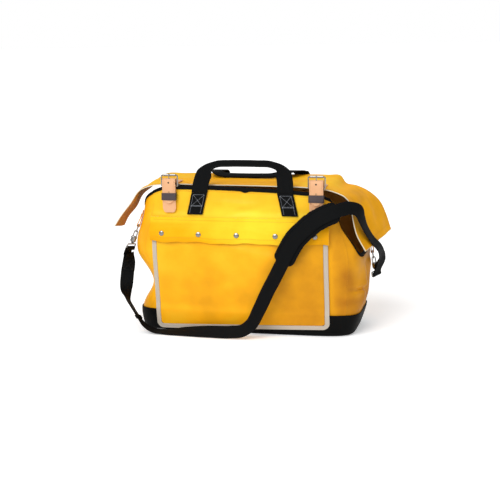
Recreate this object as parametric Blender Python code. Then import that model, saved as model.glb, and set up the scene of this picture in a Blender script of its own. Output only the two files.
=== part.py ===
# Wide-mouth tool bag: a yellow coated-fabric shell on a black boot, with a loose cover, webbing handles,
# leather closures, an outside pocket with a snapped flap and a clipped-on shoulder strap.
# Metres, +Z up, +X to the right seen from the front, the front at -Y, the underside at z = 0.

import math

import bpy
import bmesh
import numpy as np
from mathutils import Vector

# Clearances
GAP = 0.0003
FIT = 0.0005
LAY = 0.0008
OVERRUN = 0.004

# Shell
HALF_LENGTH = 0.305
HALF_DEPTH = 0.115
MOUTH_HEIGHT = 0.410
SQUARENESS = 6
PANEL_WALL = 0.0025
MOUTH_BOW = 0.015
BACK_RISE = 0.0115
LEFT_DIP = 0.060
RIGHT_DIP = 0.165
DIP_POWER = 2
RIGHT_FRONT_DIP_POWER = 6
MOUTH_TILT = 0.008
WRAP_REACH = 0.030
STATION_SHARES = (0.33, 0.55, 0.80, 1.0)
LEFT_SHARES = (1.030, 1.045, 0.931, 1.070, 0.997, 0.944)
RIGHT_SHARES = (0.975, 1.040, 1.055, 1.070, 0.955, 0.850)
FRONT_SHARES = (0.940, 1.017, 1.090, 1.180, 1.130, 1.040)
BACK_SHARES = (0.940, 1.017, 1.130, 1.330, 1.200, 1.040)
PANEL_COLUMNS = 20
END_COLUMNS = 14
PANEL_ROWS = 7
CORNER_CROWDING = 1.8

# Boot and base board
BOOT_HEIGHT = 0.063
BOOT_WALL = 0.003
BOOT_FLOOR = 0.004
BOOT_EDGE = 0.009
BOARD_THICKNESS = 0.005
STEP_RUN = 0.022

# Mouth bands and stays
BAND_HEIGHT = 0.009
BAND_THICKNESS = 0.0016
BAND_SHARE = 0.985
STAY_HEIGHT = 0.010
STAY_THICKNESS = 0.003
STAY_DROP = 0.005

# Pocket
POCKET_LEFT = -0.262
POCKET_RIGHT = 0.240
POCKET_BOTTOM = 0.007
POCKET_SLANT = 0.015
POCKET_WALL = 0.002
POUCH_DEPTH = 0.016
BINDING_WIDTH = 0.013
BINDING_THICKNESS = 0.0028
BINDING_RADIUS = 0.020
POCKET_COLUMNS = 22
POCKET_ROWS = 14

# Pocket flap and its snaps
FLAP_HINGE_DROP = 0.076
FLAP_LENGTH = 0.068
POCKET_TOP_DROP = 0.034
FLAP_OVERHANG = 0.004
FLAP_WALL = 0.002
FLAP_STAND = 0.0050
FLAP_COLUMNS = 26
FLAP_ROWS = 8
SNAP_COUNT = 5
SNAP_FIRST = -0.230
SNAP_PITCH = 0.109
SNAP_DROP = 0.045
SNAP_RADIUS = 0.0075
SNAP_DOME = 0.0034
SNAP_RIM = 0.001
SNAP_SHANK = 0.002
SNAP_HOLE = 0.0026
SOCKET_RADIUS = 0.0055
SOCKET_HEIGHT = 0.0030
SOCKET_BORE = 0.0032
SOCKET_BORE_DEPTH = 0.0022
STUD_FLANGE = 0.0045
STUD_FLANGE_HEIGHT = 0.0005
STUD_KNOB = 0.0025
STUD_KNOB_HEIGHT = 0.0016

# Cover with its wings
WING_REACH = 0.077
WING_DROP = 0.155
COVER_RISE = 0.0115
COVER_REAR_RISE = 0.0145
COVER_WALL = 0.0025
COVER_FRONT_INSET = 0.010
COVER_REAR_INSET = 0.0085
COVER_COLUMNS = 56
COVER_ROWS = 5
FRONT_X_SHARES = (-1.0, -0.95, -0.87, -0.785, -0.715, -0.58, -0.26, 0.0, 0.26, 0.52, 0.665, 0.745, 0.785,
                  0.795, 0.825, 0.89)
FRONT_DROP_SHARES = (0.78, 0.60, 0.36, 0.10, 0.03, 0.0, -0.01, -0.01, 0.0, 0.02, 0.06, 0.15, 0.30, 0.50,
                     0.83, 1.13)
REAR_X_SHARES = (-1.0, -0.965, -0.91, -0.855, -0.79, -0.60, -0.26, 0.0, 0.26, 0.52, 0.615, 0.660, 0.735,
                 0.85, 0.92, 0.955, 1.0)
REAR_DROP_SHARES = (0.88, 0.70, 0.46, 0.24, 0.07, 0.0, 0.0, 0.0, 0.0, 0.0, 0.01, 0.15, 0.19, 0.33, 0.50,
                    0.68, 1.01)
LEFT_WING_TAPER = 0.62
LEFT_WING_START = 0.74

# Handles
WEB_WIDTH = 0.045
WEB_THICKNESS = 0.0025
HANDLE_HALF_SPACING = 0.121
TAB_BOTTOM_HALF_SPACING = 0.135
TAB_LENGTH = 0.062
TAB_TOP_DROP = 0.006
HANDLE_RISE = 0.080
GRIP_WIDTH = 0.019
GRIP_THICKNESS = 0.008
ARCH_X_SHARES = (1.0, 0.96, 0.885, 0.78, 0.60, 0.30, 0.0)
ARCH_RISE_SHARES = (0.0, 0.33, 0.62, 0.84, 0.96, 0.995, 1.0)
HANDLE_LEAN = 0.006
REAR_HANDLE_SHIFT = 0.018
REAR_HANDLE_REACH = 0.100
REAR_AXIS_RISE = 0.0008
REAR_PROFILE_Y_SHARES = (0.0, -0.075, -0.29, -0.63, -1.00)
REAR_PROFILE_Z_SHARES = (0.0, 0.180, 0.190, 0.14, 0.105)
HANDLE_STEPS = 30

# Leather closures
CLOSURE_SPACING = 0.208
LEATHER_WIDTH = 0.038
LEATHER_THICKNESS = 0.003
CLOSURE_SINK = 0.0008
CHAPE_DROP = 0.051
KEEPER_DROP = 0.019
KEEPER_WIDTH = 0.020
KEEPER_WALL = 0.0018
WIRE = 0.002
BUCKLE_BAR_RISE = 0.008
BUCKLE_LENGTH = 0.032
BUCKLE_HALF_WIDTH = 0.023
BUCKLE_CORNER = 0.004
ROLLER_RADIUS = 0.0036
ROLLER_LENGTH = 0.036
TONGUE_WIRE = 0.0014
TONGUE_PAST_ROLLER = 0.005
TONGUE_SLOT = 0.006
BILLET_TIP_DROP = 0.038
BILLET_REAR = 0.055
BILLET_POINT = 0.012

# D-rings and snap hooks
RING_WIRE = 0.0018
RING_HALF_WIDTH = 0.014
RING_DEPTH = 0.021
RING_TAB_WIDTH = 0.024
RING_TAB_LENGTH = 0.042
RING_Y = 0.085
LEFT_RING_HEIGHT = 0.300
RIGHT_RING_HEIGHT = 0.208
LEFT_CHAIN_TILT = math.radians(22)
RIGHT_CHAIN_TILT = math.radians(10)
HOOK_WIRE = 0.0018
HOOK_BOW = 0.0046
HOOK_SPINE = 0.013
HOOK_BLOCK_RADIUS = 0.0082
HOOK_BLOCK_LENGTH = 0.021
HOOK_NECK_RADIUS = 0.0042
BOLT_RADIUS = 0.0016
BOLT_BORE = 0.00195
BOLT_BORE_DEPTH = 0.015
BOLT_TRAVEL = 0.007
KNOB_WIDTH = 0.0022
KNOB_REACH = 0.0055
EYE_WIRE = 0.0018
EYE_STEM = 0.0015
EYE_STEM_BORE = 0.0019
EYE_STEM_DEPTH = 0.0065
EYE_HALF_WIDTH = 0.0218
EYE_HEIGHT = 0.011
LEFT_EYE_TURN = math.radians(28)
RIGHT_EYE_TURN = math.radians(34)

# Shoulder strap and pad
STRAP_WIDTH = 0.038
STRAP_THICKNESS = 0.0025
STRAP_STEPS = 80
PAD_WIDTH = 0.062
PAD_THICKNESS = 0.008
PAD_FIRST = 19
PAD_LAST = 25
PAD_END_SHARE = 0.64
STRAP_FOLD = 0.006
STRAP_LEAN = 0.007

# Heights that go with the mouth's
FLAP_HINGE_HEIGHT = MOUTH_HEIGHT - FLAP_HINGE_DROP
FLAP_BOTTOM = FLAP_HINGE_HEIGHT - FLAP_LENGTH
POCKET_TOP = FLAP_HINGE_HEIGHT - POCKET_TOP_DROP
SNAP_HEIGHT = FLAP_HINGE_HEIGHT - SNAP_DROP
CHAPE_BOTTOM = MOUTH_HEIGHT - CHAPE_DROP
KEEPER_HEIGHT = MOUTH_HEIGHT - KEEPER_DROP
BUCKLE_BAR_HEIGHT = MOUTH_HEIGHT + BUCKLE_BAR_RISE
BILLET_TIP_HEIGHT = MOUTH_HEIGHT - BILLET_TIP_DROP

INSIDE = Vector((0.0, 0.0, MOUTH_HEIGHT / 2))
SEAM_SHARE = 0.5 ** (1 / SQUARENESS)
WRAP_HALF_LENGTH = HALF_LENGTH + WRAP_REACH
FRONT_BAND_STAND = LAY + BAND_THICKNESS


def clear_scene():
    for item in list(bpy.data.objects):
        bpy.data.objects.remove(item, do_unlink=True)


def material(name, colour, roughness, metallic=0.0):
    made = bpy.data.materials.new(name)
    made.use_nodes = True
    shader = made.node_tree.nodes["Principled BSDF"]
    linear = [(c / 12.92 if c <= 0.04045 else ((c + 0.055) / 1.055) ** 2.4) for c in colour]
    shader.inputs["Base Color"].default_value = (*linear, 1.0)
    shader.inputs["Roughness"].default_value = roughness
    shader.inputs["Metallic"].default_value = metallic
    return made


def make_materials():
    """Colour, roughness and metallic value of each stuff; every object gets a material of its own."""
    return {
        "vinyl": ((0.965, 0.725, 0.118), 0.42),
        "boot": ((0.05, 0.055, 0.06), 0.5),
        "board": ((0.22, 0.20, 0.18), 0.8),
        "webbing": ((0.08, 0.09, 0.10), 0.85),
        "binding": ((0.80, 0.76, 0.70), 0.7),
        "leather": ((0.95, 0.745, 0.56), 0.6),
        "keeper": ((0.29, 0.235, 0.243), 0.6),
        "nickel": ((0.78, 0.77, 0.74), 0.22, 1.0),
        "stay": ((0.45, 0.45, 0.46), 0.45, 1.0),
    }


def add_object(name, points, faces, paint):
    mesh = bpy.data.meshes.new(name)
    build = bmesh.new()
    corners = [build.verts.new(tuple(float(c) for c in p)) for p in points]
    for face in faces:
        build.faces.new([corners[i] for i in face])
    bmesh.ops.remove_doubles(build, verts=build.verts, dist=GAP / 100)
    bmesh.ops.recalc_face_normals(build, faces=build.faces)
    build.to_mesh(mesh)
    build.free()
    made = bpy.data.objects.new(name, mesh)
    made.data.materials.append(material(name, *paint))
    bpy.context.scene.collection.objects.link(made)
    return made


def loft(name, rings, paint, closed=False):
    """A tube of equal rings, closed into a loop or capped at both ends."""
    count = len(rings[0])
    points = [p for ring in rings for p in ring]
    spans = len(rings) if closed else len(rings) - 1
    faces = []
    for k in range(spans):
        a, b = k * count, ((k + 1) % len(rings)) * count
        for i in range(count):
            j = (i + 1) % count
            faces.append((a + i, a + j, b + j, b + i))
    if not closed:
        faces.append(tuple(range(count)))
        faces.append(tuple(range(len(points) - count, len(points))))
    return add_object(name, points, faces, paint)


def slab(name, outer, inner, paint):
    """A closed sheet between two grids of the same shape."""
    outer, inner = np.asarray(outer, float), np.asarray(inner, float)
    rows, columns = outer.shape[:2]
    points = list(outer.reshape(-1, 3)) + list(inner.reshape(-1, 3))
    below = rows * columns

    def at(row, column, side=0):
        return side * below + row * columns + column

    faces = []
    for r in range(rows - 1):
        for c in range(columns - 1):
            faces.append((at(r, c), at(r, c + 1), at(r + 1, c + 1), at(r + 1, c)))
            faces.append((at(r, c, 1), at(r + 1, c, 1), at(r + 1, c + 1, 1), at(r, c + 1, 1)))
    for c in range(columns - 1):
        faces.append((at(0, c), at(0, c, 1), at(0, c + 1, 1), at(0, c + 1)))
        faces.append((at(rows - 1, c), at(rows - 1, c + 1), at(rows - 1, c + 1, 1), at(rows - 1, c, 1)))
    for r in range(rows - 1):
        faces.append((at(r, 0), at(r + 1, 0), at(r + 1, 0, 1), at(r, 0, 1)))
        last = columns - 1
        faces.append((at(r, last), at(r, last, 1), at(r + 1, last, 1), at(r + 1, last)))
    return add_object(name, points, faces, paint)


def grid_normals(grid):
    """Unit normals of a grid of points, turned away from the middle of the bag."""
    grid = np.asarray(grid, float)
    along, across = np.gradient(grid, axis=0), np.gradient(grid, axis=1)
    normals = np.cross(along, across)
    normals /= np.linalg.norm(normals, axis=2, keepdims=True)
    if ((grid - np.array(INSIDE)) * normals).sum() < 0:
        normals = -normals
    return normals


def unit(vector):
    vector = np.asarray(vector, float)
    return vector / np.linalg.norm(vector)


def ribbon_rings(path, sides, width, thickness):
    """Rectangular sections of a flat strap along a path; sides are its width directions."""
    path = np.asarray(path, float)
    tangents = np.gradient(path, axis=0)
    width = np.broadcast_to(width, (len(path),))
    thickness = np.broadcast_to(thickness, (len(path),))
    rings = []
    for p, t, s, w, h in zip(path, tangents, sides, width, thickness):
        t = unit(t)
        s = unit(np.asarray(s, float) - np.dot(s, t) * t)
        n = np.cross(t, s)
        rings.append([p + s * w / 2 + n * h / 2, p - s * w / 2 + n * h / 2,
                      p - s * w / 2 - n * h / 2, p + s * w / 2 - n * h / 2])
    return rings


def rod_rings(path, radius, plane, closed=False, sides=8):
    """Round sections of a wire whose path lies in the plane with the given normal."""
    path = np.asarray(path, float)
    if closed:
        tangents = np.roll(path, -1, axis=0) - np.roll(path, 1, axis=0)
    else:
        tangents = np.gradient(path, axis=0)
    rings = []
    for p, t in zip(path, tangents):
        t = unit(t)
        a = unit(plane)
        b = np.cross(t, a)
        turns = [2 * math.pi * (k + 0.5) / sides for k in range(sides)]
        rings.append([p + radius * (math.cos(u) * a + math.sin(u) * b) for u in turns])
    return rings


def lathe_rings(profile, centre, axis, sides=16):
    """Rings turned about an axis from (distance along, radius) pairs."""
    axis = unit(axis)
    guide = (0.0, 0.0, 1.0) if abs(axis[2]) < 0.9 else (1.0, 0.0, 0.0)
    a = unit(np.cross(axis, guide))
    b = np.cross(axis, a)
    rings = []
    for along, radius in profile:
        turns = [2 * math.pi * k / sides for k in range(sides)]
        rings.append([np.asarray(centre) + along * axis + radius * (math.cos(u) * a + math.sin(u) * b)
                      for u in turns])
    return rings


def combine(target, tool, operation):
    """Cuts a tool from the target, or joins it on, and keeps the result as plain mesh."""
    step = target.modifiers.new(operation.lower(), "BOOLEAN")
    step.operation = operation
    step.solver = "EXACT"
    step.object = tool
    bpy.context.view_layer.update()
    shape = target.evaluated_get(bpy.context.evaluated_depsgraph_get())
    result = bpy.data.meshes.new_from_object(shape)
    own = target.data.materials[0]
    target.modifiers.clear()
    target.data = result
    result.materials.clear()
    result.materials.append(own)
    for face in result.polygons:
        face.material_index = 0
    bpy.data.materials.remove(tool.data.materials[0])
    bpy.data.objects.remove(tool, do_unlink=True)
    return target


def block(name, centre, axes, halves, paint):
    """A box with its own axes and half sizes."""
    a, b, c = [np.asarray(v) * h for v, h in zip(axes, halves)]
    centre = np.asarray(centre)
    rings = [[centre + k * c + turned for turned in (a + b, b - a, -a - b, a - b)] for k in (-1, 1)]
    return loft(name, rings, paint)


def set_origin(part, point):
    """Puts an object's origin on its joint axis without moving its surface."""
    shift = Vector(point)
    for vertex in part.data.vertices:
        vertex.co -= shift
    part.location = shift


def smooth_value(at, knots, values):
    """A cubic through the knots whose slope at each is that between its neighbours."""
    at, knots, values = np.asarray(at, float), np.asarray(knots, float), np.asarray(values, float)
    slopes = np.gradient(values, knots)
    k = np.clip(np.searchsorted(knots, at, side="right") - 1, 0, len(knots) - 2)
    span = knots[k + 1] - knots[k]
    t = np.clip((at - knots[k]) / span, 0.0, 1.0)
    start, end = 2 * t ** 3 - 3 * t ** 2 + 1, 3 * t ** 2 - 2 * t ** 3
    rise, fall = t ** 3 - 2 * t ** 2 + t, t ** 3 - t ** 2
    return values[k] * start + values[k + 1] * end + span * (slopes[k] * rise + slopes[k + 1] * fall)


def smooth_path(points, steps):
    """Points at equal steps of a smooth curve through hand-chosen points."""
    points = np.asarray(points, float)
    knots = np.concatenate(([0.0], np.cumsum(np.linalg.norm(np.diff(points, axis=0), axis=1))))
    at = np.linspace(0.0, knots[-1], steps + 1)
    return np.stack([smooth_value(at, knots, points[:, k]) for k in range(3)], axis=1), at, knots


def ease(t):
    t = np.clip(t, 0.0, 1.0)
    return t * t * (3 - 2 * t)


def stations():
    return (0.0, BOOT_HEIGHT) + tuple((MOUTH_HEIGHT + BACK_RISE) * share for share in STATION_SHARES)


def half_length(z, right):
    shares = RIGHT_SHARES if right else LEFT_SHARES
    return smooth_value(z, stations(), HALF_LENGTH * np.array(shares))


def half_depth(z, back):
    shares = BACK_SHARES if back else FRONT_SHARES
    return smooth_value(z, stations(), HALF_DEPTH * np.array(shares))


def bulge(share):
    """How far a side keeps its full depth at a share of its half width."""
    return (1 - np.abs(share) ** SQUARENESS) ** (1 / SQUARENESS)


def long_side(share, z, back, grow=0.0):
    """A point on the front or back, by its share of the half length."""
    half = half_length(z, share > 0) + grow
    depth = (half_depth(z, back) + grow) * bulge(share)
    return (share * half, depth if back else -depth, z)


def end_side(share, z, right, grow=0.0):
    """A point on an end, by its share of the half depth."""
    depth = half_depth(z, share > 0) + grow
    half = (half_length(z, right) + grow) * bulge(share)
    return (half if right else -half, share * depth, z)


def mouth_top(share, back):
    """Height of the mouth's edge along the front or back, lower at the corners."""
    rise = BACK_RISE if back else 0.0
    tilt = 0.0 if back else MOUTH_TILT * share / SEAM_SHARE
    return MOUTH_HEIGHT + rise - tilt - (MOUTH_BOW + rise) * (abs(share) / SEAM_SHARE) ** 4


def end_top(share, right):
    """Height of an end panel's edge, dipping between the corners."""
    dip = RIGHT_DIP if right else LEFT_DIP
    power = RIGHT_FRONT_DIP_POWER if right and share < 0 else DIP_POWER
    corner = MOUTH_TILT * (1 - share / SEAM_SHARE) / 2 * (-1 if right else 1)
    return MOUTH_HEIGHT - MOUTH_BOW + corner - dip * (1 - abs(share / SEAM_SHARE) ** power)


def front_lay(x, z, stand):
    """y of something that lies on the front at a height, standing off the surface by stand."""
    over_boot = (BOOT_WALL + FIT) * (1 - ease((z - BOOT_HEIGHT) / STEP_RUN))
    return -(half_depth(z, False) * bulge(x / WRAP_HALF_LENGTH) + over_boot + stand)


def front_face(x, z, stand):
    """y of something that follows the front panel itself above the pocket."""
    return -(half_depth(z, False) * bulge(x / half_length(z, x > 0)) + stand)


def back_face(x, z, stand):
    return half_depth(z, True) * bulge(x / half_length(z, x > 0)) + stand


def boot_levels():
    return (BOOT_FLOOR + GAP, BOOT_EDGE, BOOT_HEIGHT)


def panel_levels(top):
    """Heights of a panel's rows: the boot's own levels, even steps to the band, then the edge."""
    rise = top - BAND_HEIGHT - BOOT_HEIGHT
    upper = [BOOT_HEIGHT + rise * k / PANEL_ROWS for k in range(1, PANEL_ROWS + 1)]
    return list(boot_levels()) + upper + [top]


def crowded_shares(limit, columns):
    """Shares from -limit to limit, closer together towards the corners."""
    half = columns // 2
    right = [limit * (1 - (1 - k / half) ** CORNER_CROWDING) for k in range(1, half + 1)]
    return [-share for share in reversed(right)] + [0.0] + right


def pulled_in(shares):
    """The same shares with both ends drawn in a little."""
    return [shares[0] * BAND_SHARE] + shares[1:-1] + [shares[-1] * BAND_SHARE]


def make_boot(paint):
    long_shares = crowded_shares(SEAM_SHARE, PANEL_COLUMNS)
    end_shares = crowded_shares(SEAM_SHARE, END_COLUMNS)

    def ring(z, grow):
        points = [long_side(s, z, False, grow) for s in long_shares[:-1]]
        points += [end_side(s, z, True, grow) for s in end_shares[:-1]]
        points += [long_side(-s, z, True, grow) for s in long_shares[:-1]]
        points += [end_side(-s, z, False, grow) for s in end_shares[:-1]]
        return points

    wall = BOOT_WALL + FIT
    rings = []
    for turn in (0, 30, 60, 90):
        angle = math.radians(turn)
        rings.append(ring(BOOT_EDGE * (1 - math.cos(angle)), wall - BOOT_EDGE * (1 - math.sin(angle))))
    rings.append(ring(BOOT_HEIGHT, wall))
    rings.append(ring(BOOT_HEIGHT, FIT))
    rings.append(ring(BOOT_EDGE, FIT))
    rings.append(ring(BOOT_FLOOR, FIT))
    boot = loft("boot", rings, paint["boot"])
    inset = -(PANEL_WALL + 2 * FIT)
    low, high = BOOT_FLOOR + GAP, BOOT_FLOOR + GAP + BOARD_THICKNESS
    loft("base_board", [ring(low, inset), ring(high, inset)], paint["board"])
    return boot


def panel_shares():
    return (crowded_shares(SEAM_SHARE - FIT / HALF_LENGTH, PANEL_COLUMNS),
            crowded_shares(SEAM_SHARE - FIT / HALF_DEPTH, END_COLUMNS))


def make_panels(paint):
    long_shares, end_shares = panel_shares()
    for name, back in (("front_panel", False), ("back_panel", True)):
        grids = [[[long_side(s, z, back, grow) for z in panel_levels(mouth_top(s, back))]
                  for s in long_shares] for grow in (0.0, -PANEL_WALL)]
        slab(name, *grids, paint["vinyl"])
    for name, right in (("left_end_panel", False), ("right_end_panel", True)):
        grids = [[[end_side(s, z, right, grow) for z in panel_levels(end_top(s, right))]
                  for s in end_shares] for grow in (0.0, -PANEL_WALL)]
        slab(name, *grids, paint["vinyl"])


def make_bands(paint):
    """Black bands round the mouth's edge, outside, and stay bars inside the hems."""
    long_shares, end_shares = panel_shares()
    faces = (LAY + BAND_THICKNESS, LAY)
    for name, back in (("front_band", False), ("back_band", True)):
        grids = [[[long_side(s, mouth_top(s, back) - drop, back, grow) for drop in (BAND_HEIGHT, 0.0)]
                  for s in pulled_in(long_shares)] for grow in faces]
        slab(name, *grids, paint["webbing"])
    for name, right in (("left_end_band", False), ("right_end_band", True)):
        grids = [[[end_side(s, end_top(s, right) - drop, right, grow) for drop in (BAND_HEIGHT, 0.0)]
                  for s in pulled_in(pulled_in(end_shares))] for grow in faces]
        slab(name, *grids, paint["webbing"])
    inner_faces = (-(PANEL_WALL + LAY), -(PANEL_WALL + LAY + STAY_THICKNESS))
    for name, back in (("front_stay", False), ("back_stay", True)):
        grids = [[[long_side(s, mouth_top(s, back) - drop, back, grow)
                   for drop in (STAY_DROP + STAY_HEIGHT, STAY_DROP)] for s in long_shares[1:-1]]
                 for grow in inner_faces]
        slab(name, *grids, paint["stay"])


def pouch(x, z):
    """How far the pocket's front face stands off what it lies on."""
    left, right = POCKET_LEFT + BINDING_WIDTH, POCKET_RIGHT - BINDING_WIDTH
    u = np.clip((x - left) / (right - left), 0.0, 1.0)
    bottom = POCKET_BOTTOM + BINDING_WIDTH
    w = np.clip((z - bottom) / (POCKET_TOP - bottom), 0.0, 1.0)
    swell = np.sin(math.pi * u) ** 0.6 * np.sin(math.pi * 0.86 * w ** 0.8)
    return LAY + POCKET_WALL + POUCH_DEPTH * np.clip(swell, 0.0, 1.0)


def slanted(x, z):
    """A height on the pocket, raised towards the right by the slant of its lower edge."""
    share = (x - POCKET_LEFT) / (POCKET_RIGHT - POCKET_LEFT)
    return z + POCKET_SLANT * share * (POCKET_TOP - z) / (POCKET_TOP - POCKET_BOTTOM)


def make_pocket(paint):
    left = POCKET_LEFT + BINDING_WIDTH + FIT
    right = POCKET_RIGHT - BINDING_WIDTH - FIT
    bottom = POCKET_BOTTOM + BINDING_WIDTH + FIT
    corner = BINDING_RADIUS - BINDING_WIDTH
    outer, inner = [], []
    for k in range(POCKET_ROWS + 1):
        z = bottom + (POCKET_TOP - bottom) * (k / POCKET_ROWS) ** 1.2
        low = max(corner - (z - bottom), 0.0)
        inset = corner - math.sqrt(corner ** 2 - low ** 2)
        run = right - left - 2 * inset
        row = [left + inset + run * c / POCKET_COLUMNS for c in range(POCKET_COLUMNS + 1)]
        spots = [(x, slanted(x, z), pouch(x, z)) for x in row]
        outer.append([(x, front_lay(x, level, stand), level) for x, level, stand in spots])
        inner.append([(x, front_lay(x, level, stand - POCKET_WALL), level) for x, level, stand in spots])
    slab("pocket_panel", outer, inner, paint["vinyl"])
    make_binding(paint)


def make_binding(paint):
    """The pale binding: down the left edge, round the corners, along the bottom and up the right."""
    middle = BINDING_WIDTH / 2
    radius = BINDING_RADIUS - middle
    left, right, bottom = POCKET_LEFT + middle, POCKET_RIGHT - middle, POCKET_BOTTOM + middle
    step = (POCKET_TOP - POCKET_BOTTOM) / POCKET_ROWS
    line = []
    rise = POCKET_TOP - bottom - radius
    count = round(rise / step)
    line += [(left, POCKET_TOP - rise * k / count, -1.0, 0.0) for k in range(count)]
    turns = [math.radians(15 * k) for k in range(7)]
    line += [(left + radius * (1 - math.cos(a)), bottom + radius * (1 - math.sin(a)),
              -math.cos(a), -math.sin(a)) for a in turns]
    run = right - left - 2 * radius
    count = 2 * round(run / step / 2)
    line += [(left + radius + run * k / count, bottom, 0.0, -1.0) for k in range(1, count)]
    line += [(right - radius * (1 - math.cos(a)), bottom + radius * (1 - math.sin(a)),
              math.cos(a), -math.sin(a)) for a in reversed(turns)]
    count = round(rise / step)
    line += [(right, bottom + radius + rise * k / count, 1.0, 0.0) for k in range(1, count + 1)]
    grids = []
    for stand in (LAY + BINDING_THICKNESS, LAY):
        grid = []
        for x, z, out_x, out_z in line:
            row = []
            for across in (-middle, 0.0, middle):
                px = x + out_x * across
                pz = slanted(px, z + out_z * across)
                row.append((px, front_lay(px, pz, stand), pz))
            grid.append(row)
        grids.append(grid)
    slab("pocket_binding", *grids, paint["binding"])


def flap_point(x, z, depth=0.0):
    """A point on the flap's outer face, or that far below it."""
    under = min(z, POCKET_TOP)
    low = max(pouch(x, under), LAY + BINDING_THICKNESS) + FLAP_STAND
    share = ease((FLAP_HINGE_HEIGHT - z) / (FLAP_HINGE_HEIGHT - POCKET_TOP))
    stand = LAY + (low - LAY) * share + FLAP_WALL - depth
    return np.array((x, front_lay(x, z, stand), z))


def flap_hinge():
    return (0.0, float(flap_point(0.0, FLAP_HINGE_HEIGHT)[1]), FLAP_HINGE_HEIGHT)


def snap_places():
    """Each snap's centre on the flap's outer face, with the outward direction there."""
    places = []
    for k in range(SNAP_COUNT):
        x = SNAP_FIRST + SNAP_PITCH * k
        side = flap_point(x + SNAP_RADIUS, SNAP_HEIGHT) - flap_point(x - SNAP_RADIUS, SNAP_HEIGHT)
        up = flap_point(x, SNAP_HEIGHT + SNAP_RADIUS) - flap_point(x, SNAP_HEIGHT - SNAP_RADIUS)
        places.append((flap_point(x, SNAP_HEIGHT), unit(np.cross(side, up))))
    return places


def make_flap(paint):
    left, right = POCKET_LEFT - FLAP_OVERHANG, POCKET_RIGHT + FLAP_OVERHANG
    grids = []
    for depth in (0.0, FLAP_WALL):
        grid = []
        for k in range(FLAP_ROWS + 1):
            z = FLAP_BOTTOM + (FLAP_HINGE_HEIGHT - GAP - FLAP_BOTTOM) * k / FLAP_ROWS
            grid.append([flap_point(left + (right - left) * c / FLAP_COLUMNS, z, depth)
                         for c in range(FLAP_COLUMNS + 1)])
        grids.append(grid)
    flap = slab("pocket_flap", *grids, paint["vinyl"])
    for centre, out in snap_places():
        hole = loft("hole", lathe_rings([(-OVERRUN, SNAP_HOLE), (OVERRUN, SNAP_HOLE)], centre, out, 12),
                    paint["vinyl"])
        combine(flap, hole, "DIFFERENCE")
    set_origin(flap, flap_hinge())
    for number, (centre, out) in enumerate(snap_places(), 1):
        make_snap(number, centre, out, paint)


def make_snap(number, centre, out, paint):
    """The cap with its socket, riveted through the flap, and the stud on the pocket under it."""
    top = -(FLAP_WALL + LAY)
    low = top - SOCKET_HEIGHT
    roof = low + SOCKET_BORE_DEPTH
    dome = [(SNAP_RIM + (SNAP_DOME - SNAP_RIM) * math.sin(math.radians(a)),
             SNAP_RADIUS * math.cos(math.radians(a))) for a in (0, 30, 60, 82)]
    profile = [(roof, SOCKET_BORE / 8), (roof, SOCKET_BORE), (low, SOCKET_BORE), (low, SOCKET_RADIUS),
               (top, SOCKET_RADIUS), (top, SNAP_SHANK), (GAP, SNAP_SHANK), (GAP, SNAP_RADIUS)] + dome
    cap = loft(f"snap_cap_{number}", lathe_rings(profile, centre, out), paint["nickel"])
    set_origin(cap, flap_hinge())
    seat = -(FLAP_WALL + FLAP_STAND) + GAP
    rise = seat + STUD_FLANGE_HEIGHT
    tip = rise + STUD_KNOB_HEIGHT
    profile = [(seat, STUD_FLANGE), (rise, STUD_FLANGE), (rise, STUD_KNOB * 0.8),
               (tip - STUD_KNOB_HEIGHT / 3, STUD_KNOB), (tip, STUD_KNOB * 0.7)]
    loft(f"snap_stud_{number}", lathe_rings(profile, centre, out), paint["nickel"])


def cover_edge(x_shares, drop_shares, rise):
    reach = HALF_LENGTH + WING_REACH
    x = reach * np.array(x_shares)
    z = MOUTH_HEIGHT + rise - WING_DROP * np.array(drop_shares)
    points = np.stack([x, np.zeros(len(x)), z], axis=1)
    return smooth_path(points, COVER_COLUMNS)[0]


def cover_grid():
    front = cover_edge(FRONT_X_SHARES, FRONT_DROP_SHARES, COVER_RISE)
    rear = cover_edge(REAR_X_SHARES, REAR_DROP_SHARES, COVER_REAR_RISE)
    mouth = HALF_DEPTH * FRONT_SHARES[-1]
    low, high = -(mouth - COVER_FRONT_INSET), mouth - COVER_REAR_INSET + HALF_DEPTH * 0.04
    grid = []
    for k in range(COVER_ROWS + 1):
        share = k / COVER_ROWS
        row = front * (1 - share) + rear * share
        start = LEFT_WING_START
        taper = 1 - LEFT_WING_TAPER * ease((-row[:, 0] / (HALF_LENGTH + WING_REACH) - start) / (1 - start))
        row[:, 1] = low + (high - low) * share * taper
        grid.append(row)
    return np.array(grid)


def rear_axis():
    """The line that the cover and the rear handle both turn about, at the back of the mouth."""
    z = MOUTH_HEIGHT + BACK_RISE + REAR_AXIS_RISE
    stand = LAY + BAND_THICKNESS + FIT + WEB_THICKNESS
    return (0.0, float(back_face(HANDLE_HALF_SPACING, MOUTH_HEIGHT, stand)), z)


def make_cover(paint):
    top = cover_grid()
    under = top - grid_normals(top) * COVER_WALL
    cover = slab("cover", top, under, paint["vinyl"])
    set_origin(cover, rear_axis())


def cover_height(x, y):
    """Height of the cover's top face above a place near its front edge."""
    grid = cover_grid()
    share = (y - grid[0, 0, 1]) / (grid[-1, 0, 1] - grid[0, 0, 1])
    row = grid[0] * (1 - share) + grid[-1] * share
    return float(np.interp(x, row[:, 0], row[:, 2]))


def arch(steps):
    """A handle's loop as (x, rise), with how far each point is up the legs."""
    leg = [(HANDLE_HALF_SPACING * x, HANDLE_RISE * rise, 0.0)
           for x, rise in zip(ARCH_X_SHARES, ARCH_RISE_SHARES)]
    loop = leg + [(-x, rise, depth) for x, rise, depth in reversed(leg[:-1])]
    return [(float(x), float(max(rise, 0.0))) for x, rise, _ in smooth_path(loop, steps)[0]]


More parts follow.
